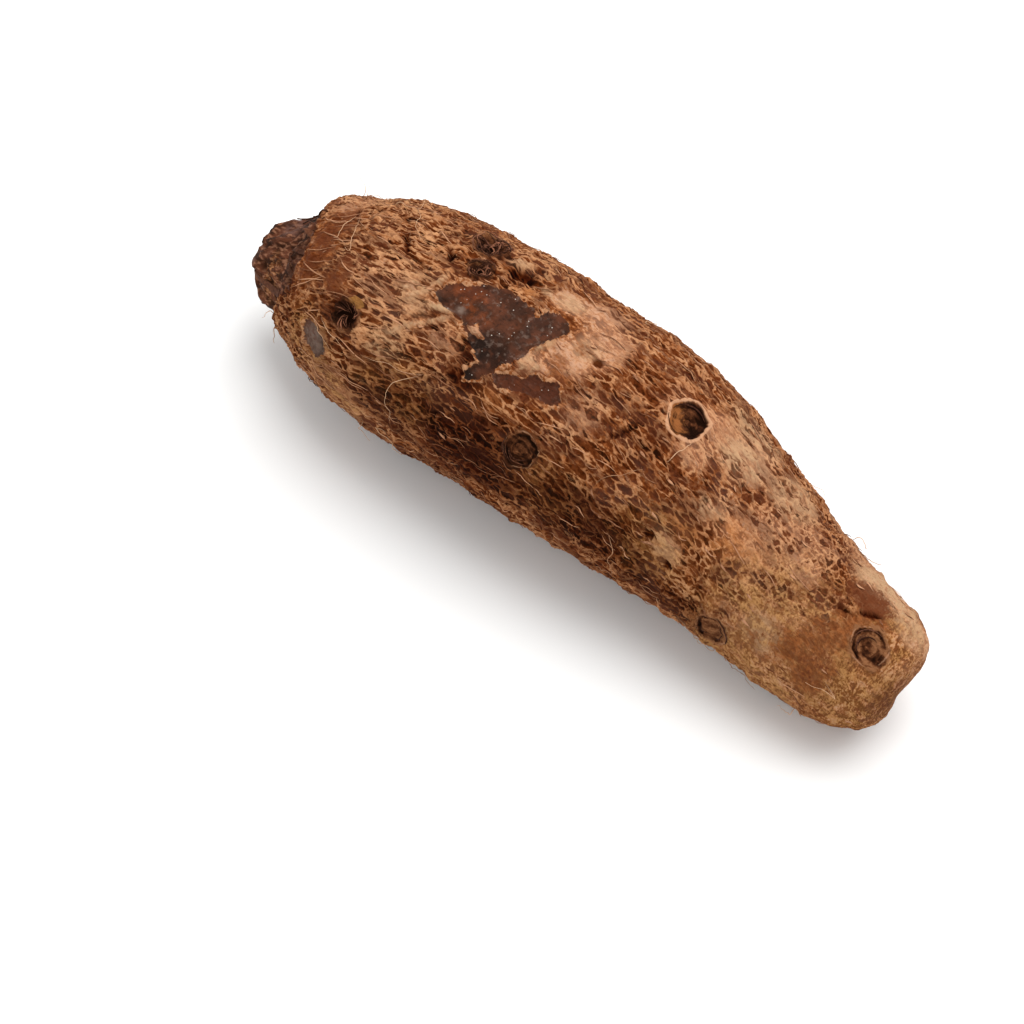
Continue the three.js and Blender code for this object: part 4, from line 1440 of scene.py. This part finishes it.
    def faces(self) -> list:
        """Faces of the closed grid, with a fan of triangles at each end."""
        rows, sides = self.rings - 2, self.sides
        row = np.arange(rows - 1)[:, None] * sides
        side = np.arange(sides)[None]
        after = (side + 1) % sides
        quads = np.stack([row + side, row + after, row + sides + after, row + sides + side], -1)
        start, end = rows * sides, rows * sides + 1
        last = (rows - 1) * sides
        first = np.stack([0 * side + start, after, side], -1).reshape(-1, 3)
        final = np.stack([0 * side + end, last + side, last + after], -1).reshape(-1, 3)
        return quads.reshape(-1, 4).tolist() + first.tolist() + final.tolist()

    def locate(self, distance: np.ndarray, angle: np.ndarray, lift: np.ndarray) -> tuple[np.ndarray, np.ndarray]:
        """Places on or above the finished skin.

        Args:
            distance: distances from the stalk end.
            angle: angles round the corm, in degrees.
            lift: heights above the skin.

        Returns:
            The positions, blended between the four nearest corners, and the directions
            outward there.
        """
        rising = slice(4, self.rings - 12)
        row = np.interp(distance, self.distance[rising], np.arange(self.rings)[rising])
        side = np.mod(angle / 360, 1) * self.sides
        low_row, low_side = np.floor(row).astype(int), np.floor(side).astype(int)
        down, over = (row - low_row)[..., None], (side - low_side)[..., None]
        low_side %= self.sides
        next_side = (low_side + 1) % self.sides

        def read(grid: np.ndarray) -> np.ndarray:
            """Grid values at the places."""
            near = grid[low_row, low_side] * (1 - over) + grid[low_row, next_side] * over
            far = grid[low_row + 1, low_side] * (1 - over) + grid[low_row + 1, next_side] * over
            return near * (1 - down) + far * down

        outward = unit(read(self.outward))
        return read(self.points) + outward * np.asarray(lift)[..., None], outward

    def covered(self, distance: np.ndarray, angle: np.ndarray) -> np.ndarray:
        """True where the net covers the skin, away from worn patches, the stub and the eyes.

        Args:
            distance: distances from the stalk end.
            angle: angles round the corm, in degrees.

        Returns:
            Whether a fibre may start there.
        """
        radius = np.interp(distance, self.distance[4:-12], self.radius[4:-12])
        turn = angle * DEGREE
        clear = self.worn_depth(distance, turn, radius) < -0.8
        clear &= self.form.stub_share(distance, turn) < 0.2
        for eye in EYES:
            clear &= self.form.eye_reach(eye, distance, turn, radius) > 1.1
        return clear


@dataclass(frozen=True)
class StrandFinish:
    """Dry plant matter of fibres, husks and hairs: dark and light colours, and gloss."""

    name: str
    dark: Colour
    light: Colour
    root: Colour
    roughness: float = 0.7

    def material(self) -> bpy.types.Material:
        """A material that follows the strand's own shade and fades to the root colour.

        Returns:
            The material.
        """
        material, w, shader = new_material(self.name)
        place = w.add("ShaderNodeTexCoord").outputs["Object"]
        grain = w.noise(w.scaled(place, 1000.0), 1.3, 3)
        shade = w.math("ADD", w.attribute("shade"), w.math("MULTIPLY_ADD", grain, 0.9, -0.45))
        colour = w.tint(w.step(shade, 0.0, 1.0), self.dark, self.light)
        colour = w.tint(w.step(w.attribute("along"), 0.0, 0.35, 0.8, 0.0), colour, self.root)
        bump = w.add("ShaderNodeBump", None, {"Height": grain, "Distance": 0.2 * MM, "Strength": 0.7})
        w.feed(shader.inputs["Base Color"], colour)
        w.feed(shader.inputs["Normal"], bump.outputs["Normal"])
        shader.inputs["Roughness"].default_value = self.roughness
        shader.inputs["Specular IOR Level"].default_value = 0.05
        return material


@dataclass
class SkinFibres:
    """Thin pale fibres that lie along the net."""

    skin: Skin
    finish: StrandFinish
    count: int = 520
    steps: int = 9
    sides: int = 4
    seed: int = 11

    def build(self) -> bpy.types.Object:
        """Lays the fibres.

        Each starts at a chance place and follows the slope of the net, with a slow bow to one
        side; its lift rises from the skin to a middle height and falls again.

        Returns:
            One object with all the fibres.
        """
        chance = np.random.default_rng(self.seed)
        start = chance.uniform(20, 226, 4 * self.count)
        angle = chance.uniform(0, 360, 4 * self.count)
        clear = self.skin.covered(start, angle) & self.skin.covered(start + 6, angle)
        clear &= chance.uniform(0, 1, len(start)) > 0.85 * smooth(start, 140, 195)
        start, angle = start[clear][: self.count], angle[clear][: self.count]
        count = len(start)
        share = np.linspace(0, 1, self.steps)[None]
        arcs = 1 + 0.7 * (1 - smooth(start, 30, 80))
        length = chance.uniform(3, 9, count) * arcs
        slope = self.skin.fibre_slope(start) + chance.normal(0, 0.22, count)
        bow = chance.normal(0, 0.5, count)
        distance = start[:, None] + share * length[:, None]
        side = slope[:, None] * share * length[:, None] + bow[:, None] * np.sin(math.pi * share)
        radius = np.interp(start, self.skin.distance[4:-12], self.skin.radius[4:-12])
        around = angle[:, None] + side / radius[:, None] / DEGREE
        lift = 0.05 + chance.uniform(0.05, 0.5, count)[:, None] * np.sin(math.pi * share) ** 0.8
        paths, outward = self.skin.locate(np.minimum(distance, 232), around, lift)
        paths[..., 2] = np.maximum(paths[..., 2], 0.3)
        thick = chance.uniform(0.06, 0.13, count)[:, None] * (0.35 + 0.65 * np.sin(math.pi * (0.1 + 0.8 * share)))
        points, faces = sweep(paths, outward, thick * 1.5, thick, self.sides)
        attributes = {
            "shade": per_strip(chance.uniform(0.1, 1, count), self.steps, self.sides),
            "along": along_strip(count, self.steps, self.sides),
        }
        return make_piece("skin_fibres", points, faces, self.finish.material(), attributes)


@dataclass
class RootHairs:
    """Long thin root hairs: the ones that can be told apart, and others at chance places."""

    skin: Skin
    finish: StrandFinish
    steps: int = 22
    sides: int = 4
    others: int = 30
    seed: int = 5
    known: tuple = (
        ((61.1, 151.5, 0.2), (65.4, 150, 0.6), (69.8, 148.5, 0.9), (74.7, 147, 1.0), (80.7, 144, 1.1)),
        ((80.7, 144, 0.3), (78, 148.5, 0.9), (74.1, 154.5, 1.2), (72.5, 162, 1.3), (72, 167.2, 1.2),
         (74.1, 170.2, 1.1), (74.1, 177, 1.0)),
        ((40, 150, 0.2), (45.9, 153, 0.7), (50.2, 159, 0.4)),
        ((44.8, 147, 0.2), (50.2, 150.8, 0.6), (55, 153.5, 0.3)),
        ((32.8, 83.2, 0.3), (33.3, 92.2, 0.9), (34.8, 102, 0.8), (33.3, 104.2, 0.4)),
        ((34.8, 84, 0.3), (40.6, 100.5, 0.9), (42.7, 108.7, 0.9), (40, 108, 0.5)),
        ((34.8, 86.2, 0.3), (41.1, 92.2, 0.8), (43.2, 91.5, 0.4)),
        ((46.0, 62.0, 0.2), (50.0, 68.0, 1.1), (53.0, 78.0, 1.0), (57.0, 84.0, 0.3)),
        ((154.7, 111.8, 0.2), (155.5, 104.5, 0.8), (156.3, 97.5, 0.9)),
        ((142.8, 141.0, 0.2), (147.0, 132.0, 0.5), (151.5, 123.7, 0.4)),
        ((25.8, 57.8, 0.2), (25.0, 56.0, 3.5), (23.5, 54.0, 7.5)),
        ((27.0, 60.0, 0.2), (28.0, 58.0, 3.0), (27.0, 53.0, 6.0)),
        ((15.0, 186.0, 0.2), (14.0, 190.0, 2.0), (12.0, 193.0, 4.0)),
        ((19.0, 188.0, 0.2), (20.0, 192.0, 2.2), (22.0, 194.0, 3.6)),
        ((62.0, 196.0, 0.2), (60.0, 201.0, 1.8), (64.0, 204.0, 3.0)),
        ((86.4, 114.0, 0.2), (88.4, 114.4, 0.6), (90.4, 114.8, 0.6), (92.6, 115.2, 0.3)),
        ((86.8, 114.4, 0.2), (88.4, 114.8, 0.6), (90.4, 115.2, 0.6), (92.2, 115.6, 0.3)),
        ((87.2, 114.8, 0.2), (88.6, 115.1, 0.6), (90.2, 115.5, 0.6), (91.8, 115.9, 0.3)),
        ((181.0, 190.0, 0.2), (186.0, 193.0, 0.8), (190.0, 196.0, 1.2)),
    )

    def build(self) -> bpy.types.Object:
        """Lays the hairs.

        Each hair is a smooth curve through three or four places given by distance, angle and
        lift; the chance ones run mostly round the corm and rise toward their tips.

        Returns:
            One object with all the hairs.
        """
        chance = np.random.default_rng(self.seed)
        share = np.linspace(0, 1, self.steps)
        routes = [spline(route, share, mirrored=True) for route in self.known]
        start = chance.uniform(24, 222, 4 * self.others)
        angle = chance.uniform(150, 440, 4 * self.others) % 360
        clear = self.skin.covered(start, angle)
        start, angle = start[clear][: self.others], angle[clear][: self.others]
        run = chance.normal(0, 5, (len(start), 3)).cumsum(1) * 0.6
        swing = chance.normal(0, 4, (len(start), 1)) + chance.normal(0, 3, (len(start), 3))
        swing = swing.cumsum(1)
        rise = np.sort(np.abs(chance.normal(0, 1.4, (len(start), 3))), 1)
        for index in range(len(start)):
            steps = [(start[index], angle[index], 0.1)]
            steps += [(start[index] + run[index, k], angle[index] + swing[index, k], 0.2 + rise[index, k])
                      for k in range(3)]
            routes.append(spline(tuple(steps), share, mirrored=True))
        route = np.stack(routes)
        wave = 0.5 * np.sin(share * 9 + np.arange(len(route))[:, None] * 1.7)
        distance = np.clip(route[..., 0] + 0.5 * wave, 6, 234)
        lift = np.maximum(route[..., 2], 0.12)
        paths, outward = self.skin.locate(distance, route[..., 1] + wave, lift)
        paths[..., 2] = np.maximum(paths[..., 2], 0.3)
        count = len(route)
        thick = chance.uniform(0.10, 0.16, count)[:, None] * (1 - 0.6 * share)
        points, faces = sweep(paths, outward, thick, thick, self.sides)
        attributes = {
            "shade": per_strip(chance.uniform(0.3, 1, count), self.steps, self.sides),
            "along": along_strip(count, self.steps, self.sides),
        }
        return make_piece("root_hairs", points, faces, self.finish.material(), attributes)


@dataclass
class EyeScales:
    """Thin bud scales and dark strands that curl round and over each eye."""

    skin: Skin
    finish: StrandFinish
    steps: int = 14
    sides: int = 6
    seed: int = 23

    def arcs_for(self, eye: Eye, chance: np.random.Generator) -> np.ndarray:
        """Curved strips for one eye.

        Args:
            eye: the eye.
            chance: source of chance values.

        Returns:
            For each strip: start heading, span, start and end reach, top lift, half width.
        """
        many = {EyeKind.NEST: 46, EyeKind.HOLE: 20, EyeKind.WHORL: 4, EyeKind.CLEAN: 2}[eye.kind]
        heading = chance.uniform(0, 2 * math.pi, many)
        if eye.kind is EyeKind.NEST:
            span = chance.uniform(0.5, 2.0, many)
            first, final = chance.uniform(0.25, 1.25, many), chance.uniform(0.1, 1.1, many)
        elif eye.kind is EyeKind.HOLE:
            span = chance.uniform(0.2, 1.3, many)
            first, final = chance.uniform(0.7, 1.1, many), chance.uniform(0.1, 0.6, many)
        elif eye.kind is EyeKind.WHORL:
            span = chance.uniform(0.9, 2.6, many)
            first = chance.uniform(0.35, 1.2, many)
            final = first + chance.normal(0, 0.1, many)
        else:
            span = chance.uniform(1.0, 2.4, many)
            first = chance.uniform(0.82, 1.0, many)
            final = first + chance.normal(0, 0.04, many)
        lift = chance.uniform(0.1, 0.55, many)
        wide = chance.uniform(0.16, 0.42, many) * (0.55 if eye.kind in (EyeKind.NEST, EyeKind.HOLE) else 0.7)
        return np.stack([heading, span, first, final, lift, wide], 1)

    def build(self) -> bpy.types.Object:
        """Lays the scales.

        A strip's places are the eye's middle plus its rim's radius times a reach that slides
        from the first to the final one, in a heading that turns through the span.

        Returns:
            One object with all the scales.
        """
        chance = np.random.default_rng(self.seed)
        rows = [
            np.column_stack([np.tile([eye.distance, eye.angle, eye.width / 2, gloom], (len(arcs), 1)), arcs])
            for eye in EYES
            for arcs in [self.arcs_for(eye, chance)]
            for gloom in [1.0 if eye.kind in (EyeKind.NEST, EyeKind.HOLE) else 0.4]
        ]
        table = np.concatenate(rows)
        columns = (column[:, None] for column in table.T)
        centre, angle, rim, gloom, heading, span, first, final, top, wide = columns
        share = np.linspace(0, 1, self.steps)[None]
        reach = rim * (first + (final - first) * share)
        turn = heading + span * share
        radius = np.interp(centre, self.skin.distance[4:-12], self.skin.radius[4:-12])
        around = angle + reach * np.sin(turn) / radius / DEGREE
        lift = 0.1 + top * np.sin(math.pi * share)
        paths, outward = self.skin.locate(centre + reach * np.cos(turn), around, lift)
        paths[..., 2] = np.maximum(paths[..., 2], 0.3)
        taper = 0.15 + 0.85 * np.sin(math.pi * (0.06 + 0.88 * share))
        points, faces = sweep(paths, outward, wide * taper, 0.1 + 0 * wide * taper, self.sides, 0.3)
        attributes = {
            "shade": per_strip(gloom[:, 0] * chance.uniform(0, 1, len(table)) ** 1.6, self.steps, self.sides),
            "along": along_strip(len(table), self.steps, self.sides),
        }
        return make_piece("eye_scales", points, faces, self.finish.material(), attributes)


@dataclass
class StubHusks:
    """Ragged remains of leaf bases round the stub of the stalk."""

    skin: Skin
    finish: StrandFinish
    count: int = 17
    steps: int = 12
    sides: int = 10
    seed: int = 3

    def build(self) -> bpy.types.Object:
        """Lays the husks.

        Each starts on the skin just behind the ragged edge and runs toward the stalk end,
        lifting at its tip, with a width that swells and then narrows to a torn point.

        Returns:
            One object with all the husks.
        """
        chance = np.random.default_rng(self.seed)
        angle = np.linspace(0, 360, self.count, endpoint=False) + chance.normal(0, 5, self.count)
        edge = 15 + 7 * np.cos((angle - 118) * DEGREE) + 2.4 * np.cos(3 * (angle - 128) * DEGREE)
        start = edge + chance.uniform(0.5, 3, self.count)
        length = chance.uniform(6, 12, self.count)
        flap = np.argmin(np.abs(angle - 157))
        length[flap] = start[flap] + 1.6
        share = np.linspace(0, 1, self.steps)[None]
        distance = np.maximum(start[:, None] - share * length[:, None], -1.2)
        around = angle[:, None] + chance.normal(0, 10, self.count)[:, None] * share
        lift = 0.05 + chance.uniform(0.2, 0.9, self.count)[:, None] * share**1.6
        paths, outward = self.skin.locate(distance, around, lift)
        paths[..., 2] = np.maximum(paths[..., 2], 0.6)
        wide = chance.uniform(0.5, 1.5, self.count)[:, None] * (0.35 + np.sin(math.pi * share**0.8) * 0.65) * (1 - 0.75 * share**3)
        points, faces = sweep(paths, outward, wide, 0.22 + 0 * wide, self.sides, 0.18)
        attributes = {
            "shade": per_strip(np.where(np.arange(self.count) == flap, 0.45, chance.uniform(0, 0.8, self.count)),
                               self.steps, self.sides),
            "along": along_strip(self.count, self.steps, self.sides),
        }
        return make_piece("stub_husks", points, faces, self.finish.material(), attributes)


@dataclass
class SkinFlakes:
    """Small lifted scales of the net, whose pale edges stand up from the skin."""

    skin: Skin
    finish: StrandFinish
    count: int = 380
    steps: int = 6
    sides: int = 6
    seed: int = 31

    def build(self) -> bpy.types.Object:
        """Lays the scales.

        Each is a short leaf along the slope of the net that leaves the skin toward its tip.

        Returns:
            One object with all the scales.
        """
        chance = np.random.default_rng(self.seed)
        start = chance.uniform(18, 228, 4 * self.count)
        angle = chance.uniform(0, 360, 4 * self.count)
        clear = self.skin.covered(start, angle)
        start, angle = start[clear][: self.count], angle[clear][: self.count]
        count = len(start)
        share = np.linspace(0, 1, self.steps)[None]
        length = chance.uniform(1.2, 3.4, count)[:, None]
        slope = (self.skin.fibre_slope(start) + chance.normal(0, 0.25, count))[:, None]
        radius = np.interp(start, self.skin.distance[4:-12], self.skin.radius[4:-12])[:, None]
        around = angle[:, None] + slope * share * length / radius / DEGREE
        lift = chance.uniform(0.1, 0.65, count)[:, None] * share**1.5
        paths, outward = self.skin.locate(np.minimum(start[:, None] + share * length, 233), around, lift)
        paths[..., 2] = np.maximum(paths[..., 2], 0.25)
        wide = chance.uniform(0.12, 0.4, count)[:, None] * np.sin(math.pi * (0.15 + 0.8 * share))
        points, faces = sweep(paths, outward, wide, 0.09 + 0 * wide, self.sides, 0.25)
        attributes = {
            "shade": per_strip(chance.uniform(0, 1, count), self.steps, self.sides),
            "along": along_strip(count, self.steps, self.sides),
        }
        return make_piece("skin_flakes", points, faces, self.finish.material(), attributes)


@dataclass
class Studio:
    """Pale floor, soft lights and the camera."""

    azimuth: float = 42.0
    elevation: float = 52.0
    lens: float = 110.0
    away: float = 905.0
    target: tuple[float, float, float] = (0.47, -3.6, 29.5)
    frame_point: tuple[float, float] = (578.0, 446.0)
    frame_size: float = 1024.0
    sensor: float = 36.0

    def axes(self) -> tuple[np.ndarray, np.ndarray, np.ndarray]:
        """Directions to the right, up and ahead of the camera."""
        a, e = self.azimuth * DEGREE, self.elevation * DEGREE
        right = np.array([math.cos(a), math.sin(a), 0])
        ahead = np.array([-math.sin(a) * math.cos(e), math.cos(a) * math.cos(e), -math.sin(e)])
        return right, np.cross(right, ahead), ahead

    def place_camera(self) -> None:
        """Puts the camera where the target falls on its place in the frame."""
        right, up, ahead = self.axes()
        pixel = self.away / (self.lens / self.sensor * self.frame_size)
        aside = (self.frame_point[0] - self.frame_size / 2) * pixel
        above = (self.frame_point[1] - self.frame_size / 2) * pixel
        place = np.array(self.target) - ahead * self.away - right * aside + up * above
        data = bpy.data.cameras.new("studio_camera")
        data.lens = self.lens
        data.sensor_width = self.sensor
        data.clip_start = 0.01
        data.clip_end = 20.0
        camera = bpy.data.objects.new("studio_camera", data)
        turned = Matrix(np.column_stack([right, up, -ahead]).tolist()).to_4x4()
        camera.matrix_world = Matrix.Translation((place * MM).tolist()) @ turned
        bpy.context.scene.collection.objects.link(camera)
        bpy.context.scene.camera = camera

    def place_light(self, name: str, offset: tuple[float, float, float], size: float, power: float) -> None:
        """Puts a square lamp that faces the corm.

        Args:
            name: name of the lamp.
            offset: metres to the camera's right, upward and toward the camera.
            size: side of the lamp in metres.
            power: strength in watts.
        """
        right, up, ahead = self.axes()
        place = right * offset[0] + up * offset[1] - ahead * offset[2]
        data = bpy.data.lights.new(name, "AREA")
        data.size = size
        data.energy = power
        lamp = bpy.data.objects.new(name, data)
        back = unit(place)
        side = unit(np.cross([0.0, 0.0, 1.0], back))
        turned = Matrix(np.column_stack([side, np.cross(back, side), back]).tolist()).to_4x4()
        lamp.matrix_world = Matrix.Translation(place.tolist()) @ turned
        bpy.context.scene.collection.objects.link(lamp)

    def lay_floor(self) -> None:
        """Lays the pale floor under the corm."""
        material, w, shader = new_material("pale_floor")
        place = w.add("ShaderNodeTexCoord").outputs["Object"]
        w.feed(shader.inputs["Base Color"], w.tint(w.noise(place, 9.0), paint(243, 243, 242), paint(247, 247, 246)))
        shader.inputs["Roughness"].default_value = 0.9
        mesh = bpy.data.meshes.new("studio_floor")
        mesh.from_pydata([(-4, -4, 0), (4, -4, 0), (4, 4, 0), (-4, 4, 0)], [], [(0, 1, 2, 3)])
        mesh.materials.append(material)
        floor = bpy.data.objects.new("studio_floor", mesh)
        bpy.context.scene.collection.objects.link(floor)

    def build(self) -> None:
        """Makes the camera, the floor, the lamps and the pale sky."""
        self.place_camera()
        self.lay_floor()
        self.place_light("key_lamp", (0.4, 0.85, 0.75), 1.3, 17.0)
        self.place_light("fill_lamp", (-0.9, 0.2, 1.0), 0.9, 3.0)
        world = bpy.data.worlds.new("studio_sky")
        world.use_nodes = True
        sky = world.node_tree.nodes["Background"].inputs
        sky["Color"].default_value = (1.0, 1.0, 1.0, 1.0)
        sky["Strength"].default_value = 0.66
        bpy.context.scene.world = world
        bpy.context.scene.view_settings.view_transform = "Standard"


PALE_FIBRE = StrandFinish("pale_fibre", paint(112, 66, 40), paint(196, 144, 108), paint(108, 60, 34))
ROOT_HAIR = StrandFinish("root_hair", paint(142, 94, 62), paint(220, 178, 140), paint(104, 62, 38), 0.6)
DARK_SCALE = StrandFinish("bud_scale", paint(50, 24, 14), paint(156, 102, 76), paint(40, 20, 11), 0.6)
HUSK = StrandFinish("stalk_husk", paint(44, 22, 14), paint(116, 72, 50), paint(72, 38, 22), 0.6)
FLAKE = StrandFinish("net_scale", paint(98, 52, 28), paint(184, 134, 100), paint(92, 48, 26))


def main() -> None:
    """Builds the studio and the corm's pieces in order."""
    Studio().build()
    skin = Skin(CormForm(), FleckNet(), SkinFinish())
    skin.build()
    SkinFibres(skin, PALE_FIBRE).build()
    SkinFlakes(skin, FLAKE).build()
    EyeScales(skin, DARK_SCALE).build()
    StubHusks(skin, HUSK).build()
    RootHairs(skin, ROOT_HAIR).build()


if __name__ == "__main__":
    main()
